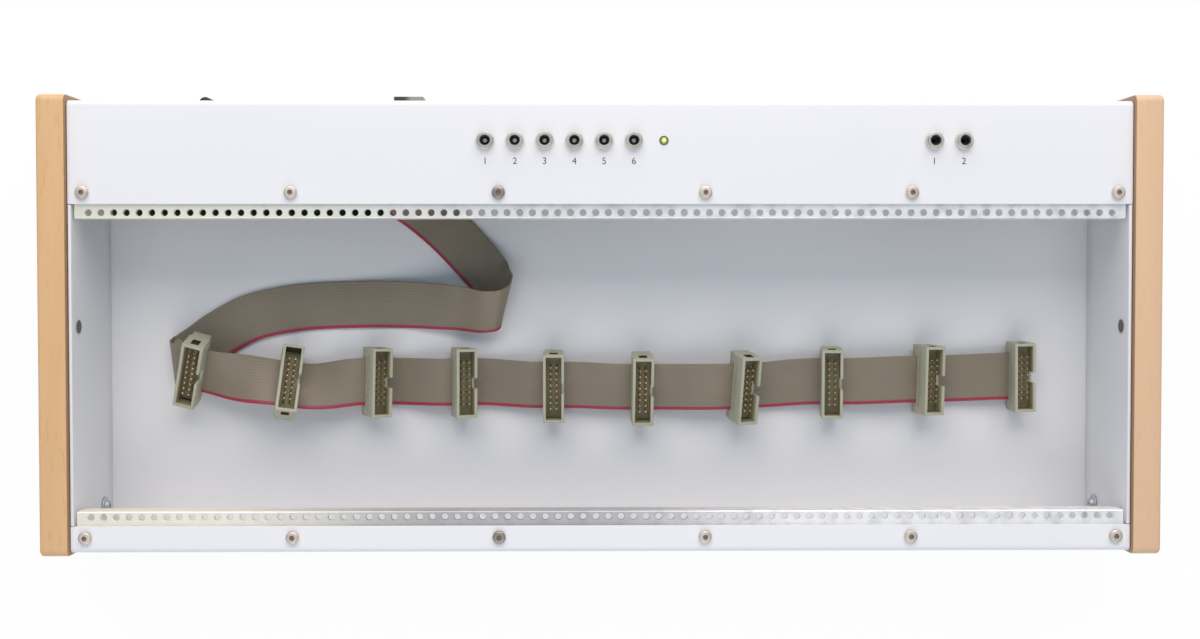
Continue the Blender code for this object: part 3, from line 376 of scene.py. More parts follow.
def bright_metal(name, slot, colour, roughness, brush=(1, 1, 1)):
    """Plated metal with fine brushing and a little uneven tarnish."""
    finish = Finish(name, slot, colour, roughness, 1.0)
    lines = finish.noise(900, 2, brush)
    cloud = finish.noise(160)
    dull = tuple(channel * 0.80 for channel in colour)
    finish.paint(finish.between(cloud, 0.4, 0.75), colour, dull)
    finish.set("Roughness", lines * 0.16 + (roughness - 0.06))
    finish.bump(lines, 0.00003, 0.25)
    return finish


def zinc_plate(name, dark_reflection_share):
    """Pale zinc, with a painted warm reflection to the left and a painted dark reflection for a
    stretch about the middle.
    """
    finish = bright_metal(name, "bright_rail", (0.95, 0.945, 0.925), 0.40, (0.04, 1, 1))
    x = finish.coordinate(0)
    # painted dark reflection, full about the middle and fading out to either side
    beside = x + 0.035
    dull = (1 - finish.between(beside.maths("ABSOLUTE", beside), 0.030, 0.125)) * dark_reflection_share
    # painted warm reflection towards the left end
    cream = (1 - finish.between(x, -0.20, 0.02)) * 0.9
    tinted = finish.mix(cream, finish.base(), (0.94, 0.885, 0.735))
    finish.paint(dull, tinted, (0.20, 0.20, 0.21))
    finish.set("Metallic", 0.45)
    return finish


def stained_tin(boundary):
    """Tinned steel, dark on the left of a boundary in X and beige on its right."""
    finish = bright_metal("tin dark to the left", "connector_shield", (0.40, 0.36, 0.315), 0.42)
    right_of_boundary = finish.between(finish.coordinate(0), boundary - 0.002, boundary + 0.002)
    finish.paint(right_of_boundary, (0.08, 0.08, 0.07), finish.base())
    finish.set("Metallic", 0.6)
    return finish


def moulded(name, slot, colour, roughness, tint=0.12):
    """Moulded plastic with a fine matte grain."""
    finish = Finish(name, slot, colour, roughness)
    grain = finish.noise(2600)
    cloud = finish.noise(120)
    pale = tuple(min(1, channel * (1 + tint)) for channel in colour)
    deep = tuple(channel * (1 - tint) for channel in colour)
    finish.paint(cloud, deep, pale)
    finish.set("Roughness", grain * 0.14 + (roughness - 0.07))
    finish.bump(grain, 0.00003, 0.3)
    return finish


def header_plastic():
    """Grey-green moulding with painted shade down its cavity and painted near-black shade in its
    end notches, by the attribute of depth.
    """
    finish = moulded("header moulding", "header_housing", (0.44, 0.43, 0.32), 0.55, 0.06)
    depth = finish.node("Attribute", (), "Fac", attribute_name="depth")
    # painted shade, deepening down the cavity
    down = finish.between(depth, 0.0002, 0.0030) * 0.95
    shaded = finish.mix(down, finish.base(), (0.235, 0.205, 0.105))
    # painted near-black shade in the end notches
    hole = finish.between(depth, 0.0080, 0.0125)
    finish.paint(hole, shaded, (0.03, 0.03, 0.025))
    return finish


def ribbon_vinyl():
    """Taupe insulation with one red conductor; the piece's UV runs across and along it."""
    finish = Finish("ribbon vinyl", "ribbon_insulation", (0.26, 0.22, 0.165), 0.46)
    across = finish.node("SeparateXYZ", {0: finish.node("UVMap", uv_map="strip")})
    red = finish.between(across, 1 - 1.20 / conductor_count, 1 - 1.08 / conductor_count)
    cloud = finish.noise(60)
    scuff = finish.noise(900)
    taupe = finish.mix(cloud, (0.213, 0.175, 0.124), (0.255, 0.211, 0.154))
    finish.paint(red, taupe, (0.34, 0.026, 0.060))
    finish.set("Roughness", scuff * 0.16 + 0.38)
    finish.bump(scuff, 0.00002, 0.3)
    return finish


def lamp_lens():
    finish = Finish("lamp lens", "lamp_lens", (0.62, 0.64, 0.22), 0.18)
    # Painted highlight: the lens's upward-facing top is lighter and glows faintly.
    painted_highlight = finish.between(finish.facing(2), 0.75, 1.0)
    finish.paint(painted_highlight, (0.35, 0.36, 0.08), (0.80, 0.82, 0.38))
    finish.set("Emission Color", finish.mix(painted_highlight, (0.02, 0.02, 0.0), (0.75, 0.80, 0.30)))
    finish.set("Emission Strength", 0.35)
    return finish


def printed_ink():
    finish = Finish("grey print", "white_powder_coat", (0.05, 0.05, 0.06), 0.5)
    finish.set("Roughness", finish.noise(800) * 0.2 + 0.4)
    return finish


def circuit_board():
    """Green solder mask with tracks that show as paler lines."""
    finish = Finish("circuit board", "circuit_board", (0.02, 0.14, 0.06), 0.35)
    wander = finish.noise(70, 0) * 160
    lines = finish.between(wander.maths("SINE", wander), 0.55, 0.75)
    finish.paint(lines, (0.014, 0.105, 0.045), (0.04, 0.22, 0.09))
    finish.set("Roughness", finish.noise(600) * 0.15 + 0.28)
    finish.bump(lines, 0.00003, 0.5)
    return finish


def rubber():
    finish = Finish("foot rubber", "foot_rubber", (0.022, 0.022, 0.023), 0.8)
    grain = finish.noise(1800, 3)
    dust = finish.between(finish.noise(90, 3), 0.45, 0.8)
    finish.paint(dust * 0.5, (0.018, 0.018, 0.018), (0.06, 0.06, 0.058))
    finish.set("Roughness", grain * 0.2 + 0.68)
    finish.bump(grain, 0.00008, 0.5)
    return finish


def at(x, y, z=0):
    return Matrix.Translation((x, y, z))


def rotation(degrees, axis, size=4):
    return Matrix.Rotation(math.radians(degrees), size, axis)


def faced(bm):
    """Turns all faces outward."""
    bmesh.ops.recalc_face_normals(bm, faces=bm.faces)
    return bm


def moved(bm, matrix):
    bmesh.ops.transform(bm, matrix=matrix, verts=bm.verts)
    return bm


def block(low, high):
    """A box between two corners."""
    bm = bmesh.new()
    low, high = Vector(low), Vector(high)
    size = Matrix.Diagonal((*(high - low), 1))
    bmesh.ops.create_cube(bm, size=1, matrix=at(*(low + high) / 2) @ size)
    return bm


def centred_block(size, centre):
    half = Vector(size) / 2
    return block(Vector(centre) - half, Vector(centre) + half)


def mirrored(half):
    """An outline of its right half and the same on the left."""
    return half + [(-x, y) for x, y in reversed(half)]


def drawn(outline, depth, place=Matrix.Identity(4)):
    """A flat outline in X and Y drawn up into a solid."""
    bm = bmesh.new()
    face = bm.faces.new([bm.verts.new((*point, 0)) for point in outline])
    grown = bmesh.ops.extrude_face_region(bm, geom=[face])["geom"]
    verts = [item for item in grown if isinstance(item, bmesh.types.BMVert)]
    bmesh.ops.translate(bm, verts=verts, vec=(0, 0, depth))
    return faced(moved(bm, place))


def turned(profile, steps=32, place=Matrix.Identity(4)):
    """A profile of radius and height, spun round Z."""
    bm = bmesh.new()
    verts = [bm.verts.new((radius, 0, height)) for radius, height in profile]
    edges = [bm.edges.new(pair) for pair in zip(verts, verts[1:])]
    spun = {"cent": (0, 0, 0), "axis": (0, 0, 1), "angle": 2 * math.pi, "use_merge": True}
    bmesh.ops.spin(bm, geom=verts + edges, steps=steps, **spun)
    bmesh.ops.remove_doubles(bm, verts=bm.verts, dist=0.000001)
    return faced(moved(bm, place))


def rod(radius, low, high, steps=24, place=Matrix.Identity(4)):
    return turned([(0, low), (radius, low), (radius, high), (0, high)], steps, place)


def ease(bm, width, steps=2, least=35, only=None):
    """Rounds the edges that turn by more than least degrees."""
    edges = [
        edge
        for edge in bm.edges
        if len(edge.link_faces) == 2
        and edge.calc_face_angle(0) > math.radians(least)
        and (only is None or only(edge))
    ]
    kind = {"profile": 0.5, "affect": "EDGES", "material": -1}
    bmesh.ops.bevel(bm, geom=edges, offset=width, segments=steps, **kind)
    return bm


def along(axis):
    """Picks edges that run along one axis."""
    return lambda edge: abs((edge.verts[0].co - edge.verts[1].co).normalized()[axis]) > 0.99


def level(axis, value):
    """Picks edges that lie at one value of an axis."""
    return lambda edge: all(abs(vert.co[axis] - value) < 0.0001 for vert in edge.verts)


def as_mesh(bm, name):
    mesh = bpy.data.meshes.new(name)
    bm.to_mesh(mesh)
    bm.free()
    return mesh


def linked(name, data):
    """An object of some data, in the scene."""
    thing = bpy.data.objects.new(name, data)
    bpy.context.scene.collection.objects.link(thing)
    return thing


def evaluated(thing):
    """A mesh of an object as its modifiers or its text leave it."""
    graph = bpy.context.evaluated_depsgraph_get()
    return bpy.data.meshes.new_from_object(thing.evaluated_get(graph))


def together(shapes):
    """One shape of several that don't touch."""
    whole = bmesh.new()
    for shape in shapes:
        mesh = as_mesh(shape, "shape")
        whole.from_mesh(mesh)
        bpy.data.meshes.remove(mesh)
    return whole


def carved(bm, cutter, operation="DIFFERENCE"):
    """One shape cut from another, or joined to it."""
    body = linked("body", as_mesh(bm, "body"))
    tool = linked("tool", as_mesh(cutter, "tool"))
    modifier = body.modifiers.new("cut", "BOOLEAN")
    modifier.operation = operation
    modifier.solver = "EXACT"
    modifier.object = tool
    mesh = evaluated(body)
    result = bmesh.new()
    result.from_mesh(mesh)
    for thing in (body, tool):
        bpy.data.objects.remove(thing)
    bpy.data.meshes.remove(mesh)
    return result


def piece(name, bm, finish, nodes=(), body="case", sharp=35):
    """Makes an object of a shape, with its finish, body and the CAD nodes that it stands for."""
    mesh = bm if isinstance(bm, bpy.types.Mesh) else as_mesh(bm, name)
    mesh.name = name
    mesh.materials.clear()
    mesh.materials.append(finish.material)
    mesh.shade_smooth()
    mesh.set_sharp_from_angle(angle=math.radians(sharp))
    thing = linked(name, mesh)
    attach(thing, body)
    if nodes:
        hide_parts(*nodes)
    return thing


def middle(node):
    low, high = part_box(node)
    return (low + high) / 2


def over(node):
    """Stands a shape drawn along Z at a node's middle."""
    return at(*middle(node).xy)


def facing_rear(node, y=rear_y):
    """Turns a shape drawn along Z so that it looks to the rear at a node's middle."""
    return at(middle(node).x, y, middle(node).z) @ rotation(-90, "X")


def profiled(outline, low, high):
    """An outline in Y and Z, drawn from one X to another."""
    turn = Matrix(((0, 0, 1, low), (1, 0, 0, 0), (0, 1, 0, 0), (0, 0, 0, 1)))
    return drawn(outline, high - low, turn)


def drills(spots, radius, low, high, steps=24):
    """Upright rods that cut round holes."""
    return [rod(radius, low, high, steps, at(x, y)) for x, y in spots]


def thread(radius, root, start, pitch, crest, count):
    """Points of a profile that go to and fro between a thread's root and its crest."""
    points = []
    for i in range(count):
        height = start + pitch * i
        points += [(radius * root, height), (radius, height + crest)]
    return points


def set_camera():
    camera = bpy.data.cameras.new("camera")
    camera.sensor_width = sensor_width
    camera.lens = sensor_width * focal_pixels / image_width
    camera.clip_start = 0.01
    thing = linked("camera", camera)
    tip, swing, roll = camera_degrees
    turn = rotation(roll, "Z") @ rotation(swing, "Y") @ rotation(tip, "X")
    place = Vector(camera_place) + Vector((0, bay_middle_y, panel_top_z))
    thing.matrix_world = at(*place) @ turn.transposed()
    bpy.context.scene.camera = thing


# The ribbon's route: across, from the bay's middle line, above the floor, and the yaw and roll in
# degrees of the line across the ribbon, from its plain to its red edge.
ribbon_stations = (
    (-0.1030, 0.0830, 0.0225, -98, 0),
    (-0.0945, 0.0785, 0.0135, -114, 0),
    (-0.0865, 0.0715, 0.0055, -128, 0),
    (-0.0768, 0.0645, 0.0018, -135, 0),
    (-0.0668, 0.0560, 0.0012, -137, 0),
    (-0.0570, 0.0460, 0.0016, -138, -2),
    (-0.0488, 0.0368, 0.0032, -136, -10),
    (-0.0438, 0.0300, 0.0060, -125, -24),
    (-0.0408, 0.0248, 0.0098, -106, -32),
    (-0.0430, 0.0216, 0.0130, -98, -33),
    (-0.0485, 0.0206, 0.0130, -95, -30),
    (-0.0600, 0.0220, 0.0088, -92, -20),
    (-0.0770, 0.0232, 0.0034, -90, -8),
    (-0.1080, 0.0236, 0.0012, -90, 0),
    (-0.1380, 0.0212, 0.0012, -82, 0),
    (-0.1525, 0.0176, 0.0014, -74, 0),
    (-0.1650, 0.0110, 0.0012, -70, 0),
    (-0.1762, 0.0033, 0.0012, -76, 0),
    (-0.1813, 0.0001, 0.0012, -80, 0),
    (-0.1834, -0.0012, 0.0022, -82, 0),
    (-0.1842, -0.0023, 0.0045, -83, 0),
    (-0.1831, -0.0032, 0.0069, -84, -2),
)

# Each header: across, from the bay's middle line, yaw, tilt along the ribbon, roll across it,
# and what lifts it off the floor.
header_stations = (
    (-0.1734, -0.0033, -15, 0, -21, under_ribbon),
    (-0.1338, -0.0102, -9, 13, 23, 0),
    (-0.0975, -0.0094, -1, 29, -1, 0),
    (-0.0599, -0.0097, 0, 18, -1, 0),
    (-0.0204, -0.0110, 0, 1, -7, 0),
    (0.0174, -0.0118, 0, 3, -11, 0),
    (0.0602, -0.0114, 1, 20, -12, 0),
    (0.0993, -0.0096, 0, -4, -5, 0),
    (0.1403, -0.0086, 0, 14, -3, 0),
    (0.1809, -0.0074, 1, 3, -2, 0),
)


def header_frames():
    frames = []
    half_clamp = header_clamp_width / 2
    half_length = header_length / 2
    for x, y, yaw, lean, roll, lift in header_stations:
        turn = rotation(yaw, "Z", 3) @ rotation(lean, "Y", 3) @ rotation(-roll, "X", 3)
        lowest = min(
            (turn @ Vector((sx * half_clamp, sy * half_length, -header_foot))).z
            for sx in (-1, 1)
            for sy in (-1, 1)
        )
        z = floor_z + hole_gap + lift - lowest
        frames.append((Vector((x, bay_middle_y + y, z)), turn))
    return frames


def ribbon_start():
    """The middle of the ribbon where its socket grips it."""
    centre = middle("ribbon_socket")
    return Vector((centre.x, centre.y, floor_z + ribbon_start_height))


def ribbon_rulings():
    """Centre, direction across and, where it is set, direction along, for each station."""
    across = Vector((0, -1, 0))
    forward = Vector((1, 0, 0))
    start = ribbon_start()
    rulings = [
        (start - forward * ribbon_grip, across, forward),
        (start + forward * header_straight, across, forward),
    ]
    for x, y, height, yaw, roll in ribbon_stations:
        yaw, roll = math.radians(yaw), math.radians(roll)
        flat = math.cos(roll)
        across = Vector((math.cos(yaw) * flat, math.sin(yaw) * flat, math.sin(roll)))
        rulings.append((Vector((x, bay_middle_y + y, floor_z + height)), across, None))
    entry_skew = rotation(first_header_skew_degrees, "Z", 3)
    for centre, turn in header_frames():
        across = turn @ Vector((0, -1, 0))
        forward = turn @ Vector((1, 0, 0))
        entry = turn @ entry_skew @ Vector((0, -1, 0))
        rulings.append((centre - forward * header_straight, entry, forward))
        rulings.append((centre + forward * header_straight, across, forward))
        entry_skew = Matrix.Identity(3)
    return rulings


def ribbon_sections():
    """Sections of the ribbon along a smooth curve through its stations."""
    rulings = ribbon_rulings()
    points = [ruling[0] for ruling in rulings]
    tangents = []
    for i, (point, _, forward) in enumerate(rulings):
        if forward is None:
            before = point - points[i - 1]
            after = points[i + 1] - point
            forward = before / before.length**2 + after / after.length**2
        tangents.append(forward.normalized())
    sections = []
    for i in range(len(points) - 1):
        chord = points[i + 1] - points[i]
        turning = math.degrees(tangents[i].angle(tangents[i + 1]))
        steps = math.ceil(max(1, chord.length / ribbon_step, turning / ribbon_turn_degrees))
        pull = chord.length * (1 + 0.2 * min(turning, 90) / 90)
        for k in range(steps + (i == len(points) - 2)):
            t = k / steps
            centre = (
                points[i] * (2 * t**3 - 3 * t**2 + 1)
                + tangents[i] * (pull * (t**3 - 2 * t**2 + t))
                + points[i + 1] * (3 * t**2 - 2 * t**3)
                + tangents[i + 1] * (pull * (t**3 - t**2))
            )
            forward = (
                chord * (6 * t - 6 * t**2)
                + tangents[i] * (pull * (3 * t**2 - 4 * t + 1))
                + tangents[i + 1] * (pull * (3 * t**2 - 2 * t))
            ).normalized()
            across = rulings[i][1].lerp(rulings[i + 1][1], t * t * (3 - 2 * t)).normalized()
            sections.append((centre, forward, across))
    return sections


def ribbon_profile():
    """Half widths and heights round the ribbon's section: a row of round conductors."""
    pitch = ribbon_width / conductor_count
    radius = ribbon_thickness / 2
    half = ribbon_width / 2
    upper = [(-half, radius * 0.35), (-half + pitch * 0.08, radius * 0.75)]
    for i in range(conductor_count):
        left = i * pitch - half
        upper += [(left + pitch * share, radius * rise) for share, rise in conductor_crown]
        if i < conductor_count - 1:
            upper.append((left + pitch, radius * conductor_valley))
    upper += [(-s, t) for s, t in reversed(upper[:2])]
    return upper + [(s, -t) for s, t in reversed(upper)]


def make_ribbon(finish):
    sections = ribbon_sections()
    profile = ribbon_profile()
    bm = bmesh.new()
    strip = bm.loops.layers.uv.new("strip")
    rows = []
    for centre, forward, across in sections:
        skew = forward.cross(across).length
        normal = forward.cross(across).normalized()
        rows.append([bm.verts.new(centre + across * (s / skew) + normal * t) for s, t in profile])
    shares = [s / ribbon_width + 0.5 for s, _ in profile]
    travelled = 0
    for row, (first, second) in enumerate(zip(rows, rows[1:])):
        further = travelled + (sections[row + 1][0] - sections[row][0]).length
        for i in range(len(profile)):
            j = (i + 1) % len(profile)
            face = bm.faces.new((first[i], first[j], second[j], second[i]))
            lengths = (travelled, travelled, further, further)
            for loop, k, length in zip(face.loops, (i, j, j, i), lengths):
                loop[strip].uv = (shares[k], length)
        travelled = further
    bm.faces.new(rows[0])
    bm.faces.new(rows[-1])
    ribbon = piece("flat_ribbon", faced(bm), finish, ["bus_ribbon"], sharp=60)
    return ribbon, [centre for centre, _, _ in sections]


def header_housing():
    """A box header's moulding, drawn about the ribbon's middle, with its clamp under the ribbon."""
    half_width = header_width / 2
    half_length = header_length / 2
    half_clamp = header_clamp_width / 2
    half_key = header_key_width / 2
    half_notch = header_end_notch_width / 2
    slot = slot_half_height
    right = [(half_clamp, -header_foot), (half_clamp, -slot)]
    right += [(half_width, -slot), (half_width, header_rise)]
    bm = drawn(mirrored(right), header_length, at(0, half_length) @ rotation(90, "X"))
    inner_width = half_width - header_wall
    inner_length = half_length - header_wall
    cavity_floor = header_rise - header_cavity_depth
    over = header_rise + header_wall
    beside = half_width + header_wall
    cavity_low = (-inner_width, -inner_length, cavity_floor)
    bm = carved(bm, block(cavity_low, (inner_width, inner_length, over)))
    key_low = (inner_width - hole_gap, -half_key, header_rise - header_key_depth)
    grip = slot_half_width
    notches = [
        block(key_low, (beside, half_key, over)),
        block((-beside, -grip, -slot), (beside, grip, slot)),
    ]
    notch_top = header_rise - header_end_notch_drop
    for side in (-1, 1):
        ys = sorted((side * (inner_length + hole_gap), side * (half_length + header_wall)))
        notch_low = (-half_notch, ys[0], notch_top - header_end_notch_depth)
        notches.append(block(notch_low, (half_notch, ys[1], notch_top)))
    bm = carved(bm, together(notches))
    grooves = []
    count = int((header_length - 4 * header_wall) / rib_pitch)
    for side in (-1, 1):
        xs = sorted((side * (half_width - rib_depth), side * beside))
        for i in range(count):
            y = (i - (count - 1) / 2) * rib_pitch
            if side > 0 and abs(y) < half_key + rib_gap:
                continue
            low = (xs[0], y - rib_gap / 2, slot + header_wall / 2)
            grooves.append(block(low, (xs[1], y + rib_gap / 2, cavity_floor + header_wall)))
    bm = ease(carved(bm, together(grooves)), header_edge, 2, 60)
    # Depth below the rim drives the moulding's painted shade in the cavity; the end notches get a
    # depth that paints them near black.
    depth = bm.verts.layers.float.new("depth")
    for vert in bm.verts:
        x, y, z = vert.co
        inside = abs(x) < inner_width + header_edge and abs(y) < inner_length + header_edge
        if inside and z > cavity_floor - header_edge:
            vert[depth] = header_rise - z
        in_wall = inner_length < abs(y) < half_length - header_edge * 0.9
        if in_wall and abs(x) < header_end_notch_width and z < header_rise - header_edge:
            vert[depth] = 2 * header_cavity_depth
    return as_mesh(bm, "housing")


def header_pins():
    """Two rows of square pins with chamfered tips."""
    low = header_rise - header_cavity_depth - header_edge
    top = low + header_edge + pin_length
    pins = []
    for column in range(pin_columns):
        for row in (-0.5, 0.5):
            y = (column - (pin_columns - 1) / 2) * pin_pitch
            centre = (row * pin_pitch, y, (top + low) / 2)
            pin = centred_block((pin_size, pin_size, top - low), centre)
            pins.append(ease(pin, pin_size / 4, 1, 60, level(2, top)))
    return as_mesh(together(pins), "pins")


def make_headers(plastic, pin_metal):
    housing = header_housing()
    pins = header_pins()
    made = []
    for number, (centre, turn) in enumerate(header_frames(), 1):
        place = at(*centre) @ turn.to_4x4()
        for kind, mesh, finish in (("housing", housing, plastic), ("pins", pins, pin_metal)):
            copy = mesh.copy()
            copy.transform(place)
            nodes = [f"bus_header_{number}"] if kind == "housing" else ()
            made.append(piece(f"header_{number}_{kind}", copy, finish, nodes, sharp=30))
    return made


def make_ribbon_socket(plastic):
    low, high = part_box("ribbon_socket")
    start = ribbon_start()
    wall = header_wall
    slot = slot_half_height
    grip = slot_half_width
    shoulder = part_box("board_header")[0].z - hole_gap
    body = block(low, (high.x, high.y, shoulder))
    nose_low = (low.x + wall / 2, low.y + wall, shoulder - hole_gap)
    nose = block(nose_low, (high.x - wall / 2, high.y - wall, high.z))
    body = carved(ease(body, header_edge * 2, 2, 60), ease(nose, header_edge, 2, 60), "UNION")
    passage_low = (low.x + wall, start.y - grip, start.z - slot)
    passage = block(passage_low, (high.x + wall, start.y + grip, start.z + slot))
    return piece("ribbon_plug", carved(body, passage), plastic, ["ribbon_socket"])


def panel_screw_places(rows=("upper", "lower")):
    for row in rows:
        for number in range(1, panel_screw_count + 1):
            node = f"rail_screw_{row}_{number}"
            yield node, middle(node).xy


def jack_names():
    for prefix, count in (("jack", 6), ("out_jack", 2)):
        for number in range(1, count + 1):
            yield f"{prefix}_{number}", number


def make_shell(white):
    """One folded sheet and its holes."""
    half_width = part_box("end_plate_right")[1].x
    front, base = shell_low.yz
    path = [(rear_y - panel_depth, panel_top_z), (rear_y, panel_top_z), (rear_y, base)]
    path += [(front, base), (front, panel_top_z), (front + lip_depth, panel_top_z)]
    bm = bmesh.new()
    verts = [bm.verts.new((-half_width, y, z)) for y, z in path]
    edges = [bm.edges.new(pair) for pair in zip(verts, verts[1:])]
    grown = bmesh.ops.extrude_edge_only(bm, edges=edges)["geom"]
    far = [item for item in grown if isinstance(item, bmesh.types.BMVert)]
    bmesh.ops.translate(bm, verts=far, vec=(2 * half_width, 0, 0))
    ease(faced(bm), bend_radius, bend_steps)
    if max(bm.faces, key=lambda face: face.calc_center_median().z).normal.z < 0:
        bmesh.ops.reverse_faces(bm, faces=bm.faces)
    bmesh.ops.solidify(bm, geom=bm.faces, thickness=sheet_thickness)
    faced(bm)

    deep = 2 * sheet_thickness
    span = (panel_under_z - deep, panel_top_z + deep)
    screws = [spot for _, spot in panel_screw_places()]
    jacks = [middle(node).xy for node, _ in jack_names()]
    cuts = drills(screws, screw_hole_radius, *span)
    cuts += drills(jacks, jack_radius + hole_gap, *span, 32)
    cuts += drills([middle("status_led").xy], lamp_hole_radius, *span)
    bm = carved(bm, together(cuts))

    openings = [
        rod(radius, -deep, deep, 48, facing_rear(node)) for node, radius in rear_holes.items()
    ]
    low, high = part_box("usb_socket")
    usb_low = (low.x - hole_gap, rear_y - deep, low.z - hole_gap)
    openings.append(block(usb_low, (high.x + hole_gap, rear_y + deep, high.z + hole_gap)))
    switch = middle("switch_frame")
    width, height = switch_opening
    openings.append(centred_block((width, 2 * deep, height), (switch.x, rear_y, switch.z)))
    bm = carved(bm, together(openings))
    piece("folded_shell", bm, white, ["case_shell"], sharp=30)


def make_cheeks(wood):
    radii = (cheek_edge_radius, cheek_inner_radius)
    for side, sign in sides:
        low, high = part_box(f"side_cheek_{side}")
        bm = ease(block(low, high), cheek_corner_radius, 6, 35, along(0))
        for x, radius in zip((low.x, high.x), radii[::-sign]):
            ease(bm, radius, 4, 35, level(0, x))
        piece(f"beech_cheek_{side}", bm, wood, [f"side_cheek_{side}"], sharp=50)


def make_rail(row, low, high, towards_bay, metal):
    """A folded angle: hole row in its plate, flange hanging on the bay's side."""
    inner, outer = (low.y, high.y) if towards_bay < 0 else (high.y, low.y)
    flange = inner - towards_bay * flange_thickness
    top = high.z
    under = top - plate_thickness
    outline = [(inner, low.z), (inner, top), (outer, top)]
    outline += [(outer, under), (flange, under), (flange, low.z)]
    bm = profiled(outline, low.x, high.x)
    ease(bm, fold_radius, 5, 35, lambda edge: level(1, inner)(edge) and level(2, top)(edge))
    deep = -2 * plate_thickness
    hole = [(0, deep), (hole_radius, deep), (hole_radius, -2 * hole_rim)]
    hole += [(hole_radius + 2 * hole_rim, hole_rim), (0, hole_rim)]
    row_y = inner - towards_bay * row_inset
    xs = [(i - (hole_count - 1) / 2) * hole_pitch for i in range(hole_count)]
    cuts = [turned(hole, 20, at(x, row_y, top)) for x in xs]
    screws = [spot for _, spot in panel_screw_places([row])]
    cuts += drills(screws, screw_hole_radius, top + deep, top + plate_thickness, 20)
    piece(f"hole_rail_{row}", carved(bm, together(cuts)), metal, [f"rail_{row}"], sharp=35)


def make_panel_screws(pale, dark, socket_painted_shade):
    """Low pan heads with hexagon sockets and threaded shanks."""
    low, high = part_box("rail_screw_upper_1")
    seat = panel_top_z + hole_gap
    head = high.z - seat
    start = low.z + fine_pitch
    count = int((seat - low.z) / fine_pitch) - 2
    profile = [(0, low.z), (thread_radius * 0.7, low.z)]
    profile += thread(thread_radius, 0.84, start, fine_pitch, fine_pitch / 2, count)
    profile.append((thread_radius * 0.9, seat))
    profile += [(head_radius * share, seat + head * rise) for share, rise in pan_head]
    profile.append((0, high.z))
    socket_floor = high.z - socket_depth
    recess = rod(socket_radius, socket_floor, high.z + head, 6)
    mesh = as_mesh(carved(turned(profile, 28), recess), "panel_screw")
    # A brown plug part way down each hexagon socket is painted shade in the recess.
    plug_span = (socket_floor - sheet_edge, high.z - socket_depth / 3)
    for node, spot in panel_screw_places():
        turn = at(*spot) @ Matrix.Rotation(7 * spot.x / hole_pitch, 4, "Z")
        copy = mesh.copy()
        copy.transform(turn)
        name = node.replace("rail", "panel")
        piece(name, copy, dark if node.endswith("_3") else pale, [node], sharp=40)
        piece(f"{name}_recess", rod(socket_radius - sheet_edge / 2, *plug_span, 6, turn), socket_painted_shade)


def make_cheek_screws(steel, black):
    """Washer heads low in the corners and a flat head half way along each end wall."""
    for side, sign in sides:
        for place in cheek_screw_places:
            node = f"cheek_screw_{side}_{place}"
            low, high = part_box(node)
            radius = (high.y - low.y) / 2
            face, tip = (high.x, low.x) if sign < 0 else (low.x, high.x)
            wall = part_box(f"end_plate_{side}")[sign > 0].x
            seat = wall - sign * (sheet_thickness + hole_gap)
            head = abs(seat - face)
            length = abs(tip - seat)
            outline, finish, socket_floor = washer_head, steel, head - wood_socket_depth
            if place == "middle":
                head *= flat_head_share
                outline, finish, socket_floor = flat_head, black, head * flat_socket_share
            profile = [(radius * share, head * rise) for share, rise in outline]
            profile.append((wood_screw_radius * 0.8, 0))
            pitch = -wood_screw_pitch
            count = int(length / wood_screw_pitch) - 1
            profile += thread(wood_screw_radius, 0.72, pitch / 2, pitch, -wood_screw_crest, count)
            profile.append((0, -length))
            bm = carved(turned(profile, 28), rod(socket_radius, socket_floor, head * 2, 6))
            turn = at(seat, *middle(node).yz) @ rotation(-90 * sign, "Y")
            piece(f"wood_screw_{side}_{place}", moved(bm, turn), finish, [node], sharp=40)


def make_feet(black_rubber):
    for row in ("front", "rear"):
        for side, _ in sides:
            node = f"foot_{row}_{side}"
            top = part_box(node)[1].z
            profile = [*foot_outline, (foot_radius, top - foot_edge)]
            profile += [(foot_radius - foot_edge, top), (0, top)]
            bm = turned(profile, 40, over(node))
            piece(f"rubber_foot_{row}_{side}", bm, black_rubber, [node])


def make_jack(name, x, board_top, black, nickel, contact):
    """Body, threaded bushing and the contact that shows down the bore."""
    place = at(x, jack_y)
    top = board_top + hole_gap + jack_body[2]
    body = centred_block(jack_body, (x, jack_y, top - jack_body[2] / 2))
    piece(f"{name}_body", ease(body, small_edge, 2), black, [name])
    crown = panel_top_z + bushing_rise
    half_pitch = fine_pitch / 2
    count = int((crown - top) / fine_pitch) - 1
    profile = [(jack_bore, top), (jack_radius * 0.95, top)]
    profile += thread(jack_radius, 0.95, top + half_pitch, fine_pitch, half_pitch, count)
    profile += [(jack_radius * 0.97, crown - 0.0002), (jack_radius * 0.91, crown)]
    profile += [(jack_bore + 0.0002, crown), (jack_bore, crown - 0.0003), (jack_bore, top)]
    piece(f"{name}_bushing", turned(profile, 32, place), nickel)
    liner_top = (jack_bore, crown - 0.0012)
    inside = jack_bore - 0.0003
    liner = [liner_top, (inside, crown - 0.0014), (inside, top + 0.0004), (0, top + 0.0004)]
    liner += [(0, top + 0.0001), (jack_bore, top + 0.0001), liner_top]
    piece(f"{name}_liner", turned(liner, 24, place), black)
    drop = out_contact_drop if name.startswith("out") else contact_drop
    spring = rod(contact_radius, top + 0.0004, crown - drop, 16, place)
    piece(f"{name}_contact", ease(spring, small_edge, 3), contact)


def make_number(name, text, x, y, finish):
    """A small printed numeral on the panel."""
    curve = bpy.data.curves.new(name, "FONT")
    curve.body = text
    curve.size = number_size
    curve.align_x = "CENTER"
    curve.extrude = print_rise
    thing = linked(name, curve)
    mesh = evaluated(thing)
    bpy.data.objects.remove(thing)
    bpy.data.curves.remove(curve)
    mesh.transform(at(x, y, panel_top_z + print_rise))
    piece(name, mesh, finish)


